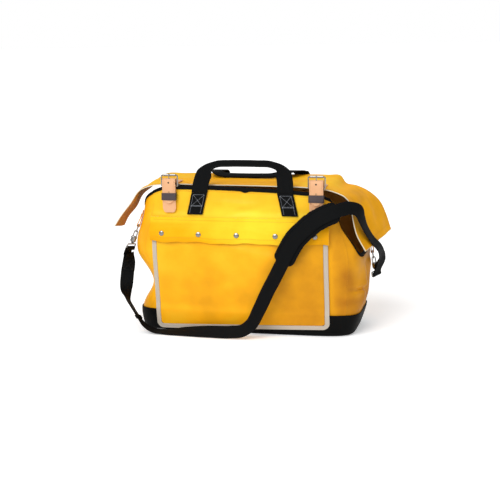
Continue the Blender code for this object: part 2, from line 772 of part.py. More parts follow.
def handle_sections(points):
    """Width and thickness of the webbing, flat on the legs and folded at the grip."""
    share = np.array([ease((rise / HANDLE_RISE - 0.6) / 0.36) for _, rise in points])
    width = WEB_WIDTH + (GRIP_WIDTH - WEB_WIDTH) * share
    thickness = WEB_THICKNESS + (GRIP_THICKNESS - WEB_THICKNESS) * share
    return width, thickness


def handle_ribbon(name, points, place, paint):
    """Sweeps the webbing round the arch; place maps (x, rise) into space."""
    path = np.array([place(x, rise) for x, rise in points])
    width, thickness = handle_sections(points)
    small = HANDLE_RISE / 100
    normals = []
    for x, rise in points:
        across = place(x + small, rise) - place(x - small, rise)
        up = place(x, rise + small) - place(x, rise - small)
        normals.append(unit(np.cross(across, up)))
    tangents = np.gradient(path, axis=0)
    tangents[0], tangents[-1] = (0.0, 0.0, 1.0), (0.0, 0.0, -1.0)
    rings = []
    for p, t, n, w, h in zip(path, tangents, normals, width, thickness):
        s = unit(np.cross(n, t))
        n = unit(np.cross(t, s))
        rings.append([p + s * w / 2 + n * h / 2, p - s * w / 2 + n * h / 2,
                      p - s * w / 2 - n * h / 2, p + s * w / 2 - n * h / 2])
    return loft(name, rings, paint["webbing"])


def tab_top():
    return MOUTH_HEIGHT - TAB_TOP_DROP


def front_axis():
    stand = FRONT_BAND_STAND + FIT + WEB_THICKNESS
    return (0.0, float(front_face(HANDLE_HALF_SPACING, tab_top(), stand)), tab_top())


def make_front_handle(paint):
    axis = front_axis()

    def place(x, rise):
        lean = HANDLE_LEAN * rise / HANDLE_RISE
        return np.array((x, axis[1] + WEB_THICKNESS / 2 + lean, axis[2] + GAP + rise))

    handle = handle_ribbon("front_handle", arch(HANDLE_STEPS), place, paint)
    set_origin(handle, axis)


def make_rear_handle(paint):
    axis = rear_axis()
    shares = np.linspace(0.0, 1.0, len(REAR_PROFILE_Y_SHARES))

    def place(x, rise):
        share = rise / HANDLE_RISE
        reach = REAR_HANDLE_REACH * smooth_value(share, shares, REAR_PROFILE_Y_SHARES)
        y = axis[1] - WEB_THICKNESS / 2 + reach
        z = axis[2] + GAP + REAR_HANDLE_REACH * smooth_value(share, shares, REAR_PROFILE_Z_SHARES)
        if share < 0:
            z += rise
        return np.array((x - REAR_HANDLE_SHIFT * max(share, 0.0) ** 1.5, y, z))

    handle = handle_ribbon("rear_handle", arch(HANDLE_STEPS), place, paint)
    set_origin(handle, axis)


def make_handle_tabs(paint):
    """Stitched tabs that carry the handles, over the mouth bands."""
    for name, lay, top in (("front", front_face, tab_top()), ("rear", back_face, rear_axis()[2])):
        over_band = LAY + BAND_THICKNESS + FIT + WEB_THICKNESS / 2
        under_band = LAY + WEB_THICKNESS / 2
        bottom = tab_top() - TAB_LENGTH
        clear = MOUTH_HEIGHT - BAND_HEIGHT - MOUTH_BOW / 3
        heights = [bottom + (clear - bottom) * k / 4 for k in range(5)]
        heights += [clear + (top - clear) * k / 3 for k in (1, 2, 3)]
        heights[-1] = top - GAP
        for side, sense in (("left", -1), ("right", 1)):
            path = []
            for k, z in enumerate(heights):
                share = (top - z) / (top - bottom)
                x = sense * (HANDLE_HALF_SPACING + (TAB_BOTTOM_HALF_SPACING - HANDLE_HALF_SPACING) * share)
                stand = under_band if k < 3 else over_band
                path.append((x, lay(x, min(z, MOUTH_HEIGHT), stand), z))
            rings = [[(x + WEB_WIDTH / 2 * a, y + WEB_THICKNESS / 2 * b, z)
                      for a, b in ((-1, -1), (1, -1), (1, 1), (-1, 1))] for x, y, z in path]
            loft(f"{name}_handle_tab_{side}", rings, paint["webbing"])


def closure_lay(x, z, stand):
    """y of something flat that lies on the front beside the handles."""
    return front_lay(x, z, stand - CLOSURE_SINK)


def closure_frame(side):
    """x of a closure and the y of the front there at the mouth."""
    x = -CLOSURE_SPACING if side == "left" else CLOSURE_SPACING
    return x, float(closure_lay(x, MOUTH_HEIGHT, 0.0))


def chape_stand():
    return FRONT_BAND_STAND + FIT + KEEPER_WALL + FIT + LEATHER_THICKNESS / 2


def bar_stand():
    """How far the buckle's lower bar stands off the front."""
    return chape_stand() - wrap_radius()


def wrap_radius():
    return WIRE + FIT + LEATHER_THICKNESS / 2


def make_chape(side, paint):
    x, front = closure_frame(side)
    stand = chape_stand()
    low = LAY + LEATHER_THICKNESS / 2
    heights = [CHAPE_BOTTOM + (KEEPER_HEIGHT - KEEPER_WIDTH * 0.7 - CHAPE_BOTTOM) * k / 3 for k in range(4)]
    path = [(x, closure_lay(x, z, low + (stand - low) * k / 3), z) for k, z in enumerate(heights)]
    path += [(x, closure_lay(x, z, stand), z) for z in (KEEPER_HEIGHT, KEEPER_HEIGHT + KEEPER_WIDTH * 0.7)]
    centre_y = front - bar_stand()
    for turn in range(0, 181, 30):
        angle = math.radians(turn)
        path.append((x, centre_y - wrap_radius() * math.cos(angle),
                     BUCKLE_BAR_HEIGHT + wrap_radius() * math.sin(angle)))
    path.append((x, centre_y + wrap_radius(), BUCKLE_BAR_HEIGHT - WIRE))
    width = [LEATHER_WIDTH * share for share in (0.55, 0.92)] + [LEATHER_WIDTH] * (len(path) - 2)
    rings = ribbon_rings(path, [(1.0, 0.0, 0.0)] * len(path), width, LEATHER_THICKNESS)
    chape = loft(f"chape_{side}", rings, paint["leather"])
    drop = TONGUE_WIRE * 2 + WIRE + FIT * 6
    reach = wrap_radius() + LEATHER_THICKNESS
    slot = block("slot", (x, centre_y, BUCKLE_BAR_HEIGHT + (reach - drop) / 2),
                 ((1, 0, 0), (0, 1, 0), (0, 0, 1)),
                 (TONGUE_SLOT / 2, reach + OVERRUN, (reach + drop) / 2), paint["leather"])
    combine(chape, slot, "DIFFERENCE")


def make_keeper(side, paint):
    x, _ = closure_frame(side)
    front = closure_lay(x, KEEPER_HEIGHT, 0.0)
    near = chape_stand() - LEATHER_THICKNESS / 2 - FIT - KEEPER_WALL / 2
    far = billet_stand() + LEATHER_THICKNESS / 2 + FIT + KEEPER_WALL / 2
    half = LEATHER_WIDTH / 2 + FIT + KEEPER_WALL / 2
    corner = KEEPER_WALL
    path = []
    for cx, cy, start in ((half, far, 0), (-half, far, 90), (-half, near, 180), (half, near, 270)):
        for turn in (0, 45, 90):
            angle = math.radians(start + turn)
            sx = math.copysign(half - corner, cx)
            sy = far - corner if cy == far else near + corner
            path.append((x + sx + corner * math.cos(angle), front - (sy + corner * math.sin(angle)),
                         KEEPER_HEIGHT))
    rings = []
    count = len(path)
    top, low = KEEPER_HEIGHT + KEEPER_WIDTH / 2, KEEPER_HEIGHT - KEEPER_WIDTH / 2
    slope = closure_lay(x, top, 0.0) - closure_lay(x, low, 0.0)
    up = np.array((0.0, slope / 2, KEEPER_WIDTH / 2))
    for k in range(count):
        before, after = np.array(path[k - 1]), np.array(path[(k + 1) % count])
        t = unit(after - before)
        n = np.cross(t, (0.0, 0.0, 1.0))
        p = np.array(path[k])
        rings.append([p + n * KEEPER_WALL / 2 + up, p - n * KEEPER_WALL / 2 + up,
                      p - n * KEEPER_WALL / 2 - up, p + n * KEEPER_WALL / 2 - up])
    loft(f"keeper_{side}", rings, paint["keeper"], closed=True)


def billet_stand():
    return chape_stand() + LEATHER_THICKNESS + FIT


def buckle_bar(side):
    x, front = closure_frame(side)
    return (x, front - bar_stand(), BUCKLE_BAR_HEIGHT)


def roller_bar(side):
    x, y, z = buckle_bar(side)
    return (x, y, z + BUCKLE_LENGTH)


def make_buckle(side, paint):
    x, y, z = buckle_bar(side)
    half, corner = BUCKLE_HALF_WIDTH, BUCKLE_CORNER
    wide, high = half - corner, BUCKLE_LENGTH - corner
    path = []
    for cx, cz, start in ((wide, high, 0), (-wide, high, 90), (-wide, corner, 180), (wide, corner, 270)):
        for turn in (0, 30, 60, 90):
            angle = math.radians(start + turn)
            path.append((x + cx + corner * math.cos(angle), y, z + cz + corner * math.sin(angle)))
    wires = rod_rings(path, WIRE, (0, 1, 0), True)
    frame = loft(f"buckle_frame_{side}", wires, paint["nickel"], closed=True)
    set_origin(frame, buckle_bar(side))
    bore = WIRE + FIT
    profile = [(-ROLLER_LENGTH / 2, bore), (ROLLER_LENGTH / 2, bore),
               (ROLLER_LENGTH / 2, ROLLER_RADIUS), (-ROLLER_LENGTH / 2, ROLLER_RADIUS)]
    turned = lathe_rings(profile, roller_bar(side), (1, 0, 0), 16)
    roller = loft(f"roller_{side}", turned, paint["nickel"], True)
    set_origin(roller, roller_bar(side))
    make_tongue(side, paint)


def make_tongue(side, paint):
    """A wire that loops the lower bar, then runs up through the billet to rest on the roller."""
    x, y, z = buckle_bar(side)
    loop = WIRE + FIT + TONGUE_WIRE
    rest = ROLLER_RADIUS + FIT + TONGUE_WIRE
    path = []
    for turn in range(-250, 1, 25):
        angle = math.radians(turn)
        path.append((x, y - loop * math.cos(angle), z + loop * math.sin(angle)))
    tip = BUCKLE_LENGTH + TONGUE_PAST_ROLLER
    for share in (0.25, 0.5, 0.75, 0.9, 1.0):
        path.append((x, y - loop - (rest - loop) * share, z + tip * share))
    tongue = loft(f"tongue_{side}", rod_rings(path, TONGUE_WIRE, (1, 0, 0)), paint["nickel"])
    set_origin(tongue, buckle_bar(side))


def billet_path(side):
    """From the cover, under the roller, out through the frame and down over the chape."""
    x, y, z = buckle_bar(side)
    front = closure_frame(side)[1]
    half = LEATHER_THICKNESS / 2
    wrap = wrap_radius() + half
    crossing = z + BUCKLE_LENGTH - ROLLER_RADIUS - half - LEATHER_THICKNESS * 1.7
    outer = wrap + half + FIT * 3
    lie = LEATHER_THICKNESS / 2 + FIT
    rear = -BILLET_REAR
    path = [(x, rear, cover_height(x, rear) + lie)]
    for share in (0.33, 0.66, 0.88):
        at = rear + (y - rear) * share
        path.append((x, at, cover_height(x, at) + lie + LEATHER_THICKNESS * 1.4 * share ** 4))
    path.append((x, y + WIRE, crossing - half / 3))
    path.append((x, y - outer * 0.45, crossing))
    path.append((x, y - outer * 0.85, crossing - LEATHER_THICKNESS))
    path.append((x, y - outer - half * 0.6, crossing - LEATHER_THICKNESS * 3.2))
    path.append((x, y - outer - half * 0.5, z))
    stand = billet_stand()
    upper = KEEPER_HEIGHT + KEEPER_WIDTH
    path.append((x, closure_lay(x, upper, stand + half), upper))
    for height in (KEEPER_HEIGHT + KEEPER_WIDTH / 2, KEEPER_HEIGHT - KEEPER_WIDTH / 2, BILLET_TIP_HEIGHT):
        path.append((x, closure_lay(x, height, stand), height))
    return smooth_path(path, 40)


def make_billet(side, paint):
    x, y, z = buckle_bar(side)
    path, at, knots = billet_path(side)
    left_over = knots[-1] - at
    width = LEATHER_WIDTH * np.clip(0.2 + 0.8 * left_over / BILLET_POINT, 0.0, 1.0)
    half = LEATHER_WIDTH / 2
    slope = (cover_height(x + half, -BILLET_REAR) - cover_height(x - half, -BILLET_REAR)) / LEATHER_WIDTH
    sides = [(1.0, 0.0, slope * np.clip((p[1] - y) / (-BILLET_REAR - y), 0.0, 1.0)) for p in path]
    rings = ribbon_rings(path, sides, width, LEATHER_THICKNESS)
    billet = loft(f"billet_{side}", rings, paint["leather"])
    loop = WIRE + FIT + TONGUE_WIRE
    top = z + BUCKLE_LENGTH - ROLLER_RADIUS
    hole = block("hole", (x, y - loop - TONGUE_WIRE / 3, top - LEATHER_THICKNESS * 1.9),
                 ((1, 0, 0), (0, 1, 0), (0, 0, 1)),
                 (TONGUE_WIRE * 1.9, TONGUE_WIRE * 1.9, LEATHER_THICKNESS * 1.9), paint["leather"])
    combine(billet, hole, "DIFFERENCE")
    set_origin(billet, rear_axis())


def end_spot(sense, y, z, stand=0.0):
    """A point standing off an end, with the level direction straight out of the surface there."""
    back = y > 0
    depth, half = float(half_depth(z, back)), float(half_length(z, sense > 0))
    share = y / depth
    x = half * bulge(share)
    lean = (share ** (SQUARENESS - 1) / depth) / ((x / half) ** (SQUARENESS - 1) / half)
    out = unit((sense, lean, 0.0))
    return np.array((sense * x, y, z)) + stand * out, out


def chain_frame(side):
    """Origin on the ring's bar, with the chain's down, outward and along directions."""
    if side == "left":
        sense, y, z, tilt = -1, -RING_Y, LEFT_RING_HEIGHT, LEFT_CHAIN_TILT
    else:
        sense, y, z, tilt = 1, RING_Y, RIGHT_RING_HEIGHT, RIGHT_CHAIN_TILT
    origin, level = end_spot(sense, y, z, LAY + WEB_THICKNESS + FIT + RING_WIRE)
    up = np.array((0.0, 0.0, 1.0))
    down = level * math.sin(tilt) - up * math.cos(tilt)
    out = level * math.cos(tilt) + up * math.sin(tilt)
    return origin, down, out, unit(np.cross(up, level)) * sense, sense


def make_ring(side, paint):
    origin, down, out, along, sense = chain_frame(side)
    path = [origin + along * RING_HALF_WIDTH * share for share in (-1.0, -0.5, 0.0, 0.5)]
    for turn in range(0, 180, 15):
        angle = math.radians(turn)
        path.append(origin + along * RING_HALF_WIDTH * math.cos(angle)
                    + down * RING_DEPTH * math.sin(angle) ** 0.8)
    ring = loft(f"d_ring_{side}", rod_rings(path, RING_WIRE, out, True), paint["nickel"], closed=True)
    set_origin(ring, origin)
    make_ring_tab(side, paint)


def make_ring_tab(side, paint):
    """Webbing sewn to the end, down behind the ring's bar, round it and up again in front."""
    origin, _, _, along, sense = chain_frame(side)
    z0 = origin[2]
    y = -RING_Y if side == "left" else RING_Y
    radius = RING_WIRE + FIT + WEB_THICKNESS / 2
    lie = LAY + WEB_THICKNESS / 2
    middle = LAY + WEB_THICKNESS + FIT + RING_WIRE
    _, level = end_spot(sense, y, z0)
    up = np.array((0.0, 0.0, 1.0))
    steps = 5
    path = [end_spot(sense, y, z0 + RING_TAB_LENGTH * (1 - k / steps), lie)[0] for k in range(steps)]
    for turn in range(0, 181, 30):
        angle = math.radians(turn)
        path.append(origin - level * radius * math.cos(angle) - up * radius * math.sin(angle))
    for k in range(1, steps):
        stand = middle + radius + (lie + WEB_THICKNESS + FIT - middle - radius) * ease(k / (steps - 1))
        path.append(end_spot(sense, y, z0 + (RING_TAB_LENGTH - WEB_THICKNESS) * k / steps, stand)[0])
    rings = ribbon_rings(path, [along] * len(path), RING_TAB_WIDTH, WEB_THICKNESS)
    loft(f"d_ring_tab_{side}", rings, paint["webbing"])


def hook_places(side):
    """Distances down the chain: bow centre, block top, block bottom, eye top and strap bar."""
    bow = RING_DEPTH + HOOK_BOW - HOOK_WIRE - RING_WIRE - GAP
    block_top = bow + HOOK_SPINE
    block_low = block_top + HOOK_BLOCK_LENGTH
    eye_top = block_low + EYE_WIRE + FIT * 2
    return bow, block_top, block_low, eye_top, eye_top + EYE_HEIGHT


def make_hook(side, paint):
    origin, down, out, along, sense = chain_frame(side)
    bow, block_top, block_low, eye_top, bar = hook_places(side)
    root = HOOK_WIRE * 1.2
    path = [origin + down * (block_top + root - (HOOK_SPINE + root) * share) - out * HOOK_BOW
            for share in (0.0, 0.5)]
    for turn in range(0, 181, 20):
        angle = math.radians(turn)
        path.append(origin + down * (bow - HOOK_BOW * math.sin(angle)) - out * HOOK_BOW * math.cos(angle))
    path.append(origin + down * (bow + HOOK_WIRE / 2) + out * HOOK_BOW)
    hook = loft(f"snap_hook_{side}", rod_rings(path, HOOK_WIRE, along), paint["nickel"])
    shoulder = HOOK_BLOCK_LENGTH * 0.7
    profile = [(block_top, HOOK_BLOCK_RADIUS * 0.92), (block_top + HOOK_WIRE, HOOK_BLOCK_RADIUS),
               (block_top + shoulder, HOOK_BLOCK_RADIUS), (block_low - HOOK_WIRE, HOOK_NECK_RADIUS),
               (block_low, HOOK_NECK_RADIUS)]
    barrel = loft("barrel", lathe_rings(profile, origin, down, 16), paint["nickel"])
    combine(hook, barrel, "UNION")
    bore_top = block_top - HOOK_WIRE
    centre = origin + out * HOOK_BOW
    bore = loft("bore", lathe_rings([(bore_top, BOLT_BORE), (block_top + BOLT_BORE_DEPTH, BOLT_BORE)],
                                    centre, down, 12), paint["nickel"])
    combine(hook, bore, "DIFFERENCE")
    slot_top, slot_low = block_top + HOOK_WIRE, block_top + HOOK_WIRE + BOLT_TRAVEL + KNOB_WIDTH + FIT * 2
    middle = centre + down * (slot_top + slot_low) / 2 + out * KNOB_REACH / 2
    slot = block("slot", middle, (out, along, down),
                 (KNOB_REACH / 2, KNOB_WIDTH / 2 + FIT, (slot_low - slot_top) / 2), paint["nickel"])
    combine(hook, slot, "DIFFERENCE")
    hollow = [(block_low - EYE_STEM_DEPTH - FIT, EYE_STEM_BORE), (block_low + HOOK_WIRE, EYE_STEM_BORE)]
    stem = loft("stem", lathe_rings(hollow, origin, down, 12), paint["nickel"])
    combine(hook, stem, "DIFFERENCE")
    set_origin(hook, origin + down * RING_DEPTH)
    tip = bow + HOOK_WIRE / 2 + GAP
    tail = block_top + BOLT_BORE_DEPTH - BOLT_TRAVEL - FIT * 2
    rod = lathe_rings([(tip, BOLT_RADIUS), (tail, BOLT_RADIUS)], centre, down, 12)
    bolt = loft(f"snap_bolt_{side}", rod, paint["nickel"])
    knob = slot_top + FIT + KNOB_WIDTH / 2
    thumb = block("thumb", centre + down * knob + out * KNOB_REACH / 2, (out, along, down),
                  (KNOB_REACH / 2, KNOB_WIDTH / 2, KNOB_WIDTH / 2), paint["nickel"])
    combine(bolt, thumb, "UNION")
    set_origin(bolt, centre + down * tip)
    make_eye(side, paint)


def eye_direction(side):
    """The eye's bar: along the bag's end, turned a little about the chain."""
    turn = LEFT_EYE_TURN if side == "left" else RIGHT_EYE_TURN
    _, down, out, along, sense = chain_frame(side)
    return unit(math.cos(turn) * along + sense * math.sin(turn) * out)


def make_eye(side, paint):
    """The swivel loop that the strap is sewn round, with its stem up into the hook."""
    origin, down, out, along, sense = chain_frame(side)
    bow, block_top, block_low, eye_top, bar = hook_places(side)
    across = eye_direction(side)
    plane = np.cross(across, down)
    corner = EYE_WIRE * 1.5
    path = []
    for cx, cd, start in ((EYE_HALF_WIDTH - corner, EYE_HEIGHT - corner, 0),
                          (-EYE_HALF_WIDTH + corner, EYE_HEIGHT - corner, 90),
                          (-EYE_HALF_WIDTH + corner, corner, 180), (EYE_HALF_WIDTH - corner, corner, 270)):
        for turn in (0, 45, 90):
            angle = math.radians(start + turn)
            path.append(origin + across * (cx + corner * math.cos(angle))
                        + down * (eye_top + cd + corner * math.sin(angle)))
    eye = loft(f"snap_eye_{side}", rod_rings(path, EYE_WIRE, plane, True), paint["nickel"], closed=True)
    stem = loft("stem", lathe_rings([(block_low - EYE_STEM_DEPTH, EYE_STEM), (eye_top, EYE_STEM)],
                                    origin, down, 12), paint["nickel"])
    combine(eye, stem, "UNION")
    set_origin(eye, origin + down * block_low)


def strap_route():
    """The strap's route from the left snap to the right one, with its width direction at each point."""
    return [
        ((-0.3500, -0.0900, 0.1950), (0.72, 0.69, 0.0)),
        ((-0.3530, -0.0950, 0.1630), (0.90, 0.43, 0.0)),
        ((-0.3545, -0.1020, 0.1350), (0.90, 0.43, 0.0)),
        ((-0.3540, -0.1100, 0.1110), (0.50, 0.86, 0.0)),
        ((-0.3470, -0.1200, 0.0920), (-0.10, 0.99, -0.06)),
        ((-0.3290, -0.1330, 0.0700), (-0.20, 0.97, -0.12)),
        ((-0.3080, -0.1430, 0.0450), (-0.18, 0.97, -0.12)),
        ((-0.2880, -0.1480, 0.0220), (-0.10, 0.99, -0.05)),
        ((-0.2620, -0.1480, 0.0085), (0.0, 1.00, 0.05)),
        ((-0.2300, -0.1480, 0.0052), (0.0, 0.99, 0.12)),
        ((-0.1700, -0.1550, 0.0107), (0.0, 0.90, 0.43)),
        ((-0.1000, -0.1630, 0.0155), (0.0, 0.72, 0.69)),
        ((-0.0300, -0.1660, 0.0182), (-0.05, 0.60, 0.80)),
        ((0.0000, -0.1670, 0.0225), (-0.30, 0.55, 0.78)),
        ((0.0260, -0.1680, 0.0400), (-0.65, 0.40, 0.64)),
        ((0.0520, -0.1700, 0.0850), (-0.86, 0.15, 0.48)),
        ((0.0800, -0.1710, 0.1430), (-0.88, 0.05, 0.47)),
        ((0.1000, -0.1730, 0.1800), (-0.88, 0.0, 0.47)),
        ((0.1180, -0.1750, 0.2150), (-0.90, 0.0, 0.42)),
        ((0.1340, -0.1760, 0.2480), (-0.88, 0.0, 0.46)),
        ((0.1560, -0.1760, 0.2850), (-0.82, 0.0, 0.56)),
        ((0.1850, -0.1730, 0.3150), (-0.66, 0.02, 0.75)),
        ((0.2120, -0.1690, 0.3370), (-0.52, 0.10, 0.85)),
        ((0.2420, -0.1620, 0.3530), (-0.30, 0.22, 0.90)),
        ((0.2720, -0.1490, 0.3640), (-0.15, 0.40, 0.90)),
        ((0.2980, -0.1300, 0.3680), (0.10, 0.65, 0.75)),
        ((0.3200, -0.1120, 0.3580), (0.42, 0.75, 0.50)),
        ((0.3280, -0.0990, 0.3320), (0.25, 0.90, 0.35)),
        ((0.3360, -0.0800, 0.3030), (0.05, 0.90, 0.42)),
        ((0.3490, -0.0560, 0.2710), (-0.02, 0.90, 0.42)),
        ((0.3640, -0.0300, 0.2440), (0.0, 0.90, 0.40)),
        ((0.3660, 0.0020, 0.2230), (0.10, 0.88, 0.40)),
        ((0.3630, 0.0360, 0.2060), (0.20, 0.86, 0.36)),
        ((0.3600, 0.0620, 0.1910), (0.36, 0.86, 0.20)),
        ((0.3570, 0.0770, 0.1760), (0.45, 0.86, 0.10)),
    ]


def strap_fold(side):
    """The strap's end, folded round the eye's bar, with the bar's direction as its width."""
    origin, down, out, _, _ = chain_frame(side)
    bar = origin + down * hook_places(side)[4]
    radius = EYE_WIRE + FIT + STRAP_THICKNESS / 2
    across = eye_direction(side)
    away = unit(np.cross(across, down))
    if np.dot(away, out) < 0:
        away = -away
    leave = down if side == "left" else -down
    path = [bar - away * radius + leave * STRAP_FOLD * share for share in (1.0, 0.5)]
    for turn in range(0, 181, 30):
        angle = math.radians(turn)
        path.append(bar - away * radius * math.cos(angle) - leave * radius * math.sin(angle))
    lean = 0.0 if side == "left" else STRAP_LEAN
    path.append(bar + away * radius + leave * STRAP_FOLD)
    path.append(bar + away * (radius + lean / 3) + leave * STRAP_FOLD * 2)
    path.append(bar + away * (radius + lean) + leave * STRAP_FOLD * 3)
    return path, across


def strap_line():
    """The whole strap's centre line and width directions, and which points the pad lies along."""
    left, left_across = strap_fold("left")
    right, right_across = strap_fold("right")
    route = [(left[-1], left_across)] + strap_route() + [(right[-1], right_across)]
    places = np.array([place for place, _ in route])
    sides = np.array([unit(side) for _, side in route])
    path, at, knots = smooth_path(places, STRAP_STEPS)
    turned = np.stack([smooth_value(at, knots, sides[:, k]) for k in range(3)], axis=1)
    line = np.concatenate([left[:-1], path, right[:-1][::-1]])
    across = np.concatenate([[left_across] * (len(left) - 1), turned, [right_across] * (len(right) - 1)])
    first, last = (len(left) - 1 + int(np.searchsorted(at, knots[k])) for k in (PAD_FIRST, PAD_LAST))
    length = np.linalg.norm(np.diff(line, axis=0), axis=1).sum()
    print(f"shoulder strap length {length:.3f} m")
    return line, across, first, last


def make_strap(paint):
    line, across, first, last = strap_line()
    loft("shoulder_strap", ribbon_rings(line, across, STRAP_WIDTH, STRAP_THICKNESS), paint["webbing"])
    tangents = np.gradient(line, axis=0)
    lower = []
    for k in range(first, last + 1):
        t = unit(tangents[k])
        s = unit(across[k] - np.dot(across[k], t) * t)
        n = np.cross(t, s)
        lower.append(line[k] - n * (STRAP_THICKNESS / 2 + LAY + FIT + PAD_THICKNESS / 2))
    ends = [min(k, last - first - k) for k in range(last - first + 1)]
    width = [PAD_WIDTH * min(PAD_END_SHARE + (1 - PAD_END_SHARE) * k / 2, 1.0) for k in ends]
    rings = []
    for p, k, w in zip(lower, range(first, last + 1), width):
        t = unit(tangents[k])
        s = unit(across[k] - np.dot(across[k], t) * t)
        n = np.cross(t, s)
        rings.append([p + s * w / 2 + n * PAD_THICKNESS / 2, p - s * w / 2 + n * PAD_THICKNESS / 2,
                      p - s * w / 2 - n * PAD_THICKNESS / 2, p + s * w / 2 - n * PAD_THICKNESS / 2])
    loft("shoulder_pad", rings, paint["webbing"])


def build():
    clear_scene()
    paint = make_materials()
    make_boot(paint)
    make_panels(paint)
    make_bands(paint)
    make_pocket(paint)
    make_flap(paint)
    make_cover(paint)
    make_front_handle(paint)
    make_rear_handle(paint)
    make_handle_tabs(paint)
    for side in ("left", "right"):
        make_chape(side, paint)
        make_keeper(side, paint)
        make_buckle(side, paint)
        make_billet(side, paint)
        make_ring(side, paint)
        make_hook(side, paint)
    make_strap(paint)
    bpy.context.view_layer.update()


build()
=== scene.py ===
# A wide-mouth tool bag in yellow coated fabric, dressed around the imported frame.
import math

import bpy
import bmesh
import numpy as np
from mathutils import Matrix, Vector

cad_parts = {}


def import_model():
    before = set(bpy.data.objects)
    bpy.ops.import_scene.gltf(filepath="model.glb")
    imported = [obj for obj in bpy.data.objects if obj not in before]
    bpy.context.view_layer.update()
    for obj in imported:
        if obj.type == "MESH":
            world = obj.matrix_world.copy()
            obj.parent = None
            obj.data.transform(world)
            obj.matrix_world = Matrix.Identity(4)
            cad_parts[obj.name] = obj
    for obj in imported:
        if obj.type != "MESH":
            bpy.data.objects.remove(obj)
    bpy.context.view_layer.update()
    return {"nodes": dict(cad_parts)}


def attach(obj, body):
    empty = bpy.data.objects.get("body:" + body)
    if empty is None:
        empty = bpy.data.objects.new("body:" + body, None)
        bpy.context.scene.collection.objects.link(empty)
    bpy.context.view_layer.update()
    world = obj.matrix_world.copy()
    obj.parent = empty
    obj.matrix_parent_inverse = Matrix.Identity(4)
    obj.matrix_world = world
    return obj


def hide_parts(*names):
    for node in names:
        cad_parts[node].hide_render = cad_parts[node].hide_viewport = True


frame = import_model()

# colour, nodes and meshes


# each sRGB channel above 0.04045 becomes ((c + 0.055) / 1.055) to the power 2.4, and below it c / 12.92
def hexToLinear(text):
    channels = np.array([int(text[i:i + 2], 16) / 255 for i in (1, 3, 5)])
    linear = np.where(channels <= 0.04045, channels / 12.92, ((channels + 0.055) / 1.055) ** 2.4)
    return (*[float(c) for c in linear], 1.0)


def firstOutput(source):
    return source.outputs[0] if isinstance(source, bpy.types.Node) else source


# settings are the node's properties, values its unlinked sockets, links what feeds its sockets
def addNode(tree, kind, settings=None, values=None, links=None):
    node = tree.nodes.new("ShaderNode" + kind)
    for key, value in (settings or {}).items():
        setattr(node, key, value)
    for key, value in (values or {}).items():
        node.inputs[key].default_value = value
    for key, source in (links or {}).items():
        tree.links.new(firstOutput(source), node.inputs[key])
    return node


def feed(shader, socket, source):
    shader.id_data.links.new(firstOutput(source), shader.inputs[socket])


def startMaterial(name, roughness, **sockets):
    material = bpy.data.materials.new(name)
    material.use_nodes = True
    shader = material.node_tree.nodes["Principled BSDF"]
    shader.inputs["Roughness"].default_value = roughness
    for key, value in sockets.items():
        shader.inputs[key.replace("_", " ")].default_value = value
    return material, material.node_tree, shader


# verts is (n, 3); faces a list or array of corner indices; uvs is one pair of metres for each corner
def fillMesh(name, verts, faces, uvs=None, slots=None, materials=(), sharpAngle=40):
    mesh = bpy.data.meshes.new(name)
    mesh.from_pydata(np.asarray(verts, float).tolist(), [], [list(map(int, f)) for f in faces])
    if uvs is not None:
        layer = mesh.uv_layers.new(name="metres")
        layer.data.foreach_set("uv", np.asarray(uvs, np.float32).ravel())
    for material in materials:
        mesh.materials.append(material)
    if slots is not None:
        mesh.polygons.foreach_set("material_index", np.asarray(slots, np.int32))
    mesh.polygons.foreach_set("use_smooth", np.ones(len(mesh.polygons), bool))
    mesh.update()
    mesh.set_sharp_from_angle(angle=math.radians(sharpAngle))
    piece = bpy.data.objects.new(name, mesh)
    bpy.context.scene.collection.objects.link(piece)
    return piece


# the piece rides a body and stands for nodes of the frame, which are hidden
def dress(piece, bodyName, *nodes):
    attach(piece, bodyName)
    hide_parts(*nodes)


def readPoints(data):
    points = np.empty(len(data.vertices) * 3, np.float32)
    data.vertices.foreach_get("co", points)
    return points.reshape(-1, 3)


def unit(v):
    v = np.asarray(v, float)
    return v / np.maximum(np.linalg.norm(v, axis=-1, keepdims=True), 1e-12)


# the length along a line at each of its points
def lengths(line):
    return np.concatenate([[0.0], np.cumsum(np.linalg.norm(np.diff(line, axis=0), axis=1))])


# quads of a grid as corner indices, with a wrapped last column joined to the first
def gridFaces(rows, columns, wrap=False):
    r, c = np.mgrid[:rows - 1, :columns if wrap else columns - 1]
    n = (c + 1) % columns
    quads = [r * columns + c, r * columns + n, (r + 1) * columns + n, (r + 1) * columns + c]
    return np.stack(quads, axis=-1).reshape(-1, 4)


# the cross product of a grid's two directions at each point, at unit length
def gridNormals(grid, wrap=False):
    if wrap:
        across = np.roll(grid, -1, axis=1) - np.roll(grid, 1, axis=1)
    else:
        across = np.gradient(grid, axis=1)
    return unit(np.cross(across, np.gradient(grid, axis=0)))


# texture coordinates in metres: the mean length across the columns and up the rows
def gridMetres(grid, wrap=False):
    looped = np.concatenate([grid, grid[:, :1]], axis=1) if wrap else grid
    across = np.linalg.norm(np.diff(looped, axis=1), axis=2).mean(axis=0)
    up = np.linalg.norm(np.diff(looped, axis=0), axis=2).mean(axis=1)
    u, v = np.concatenate([[0], np.cumsum(across)]), np.concatenate([[0], np.cumsum(up)])
    return np.stack(np.meshgrid(u, v), axis=-1)


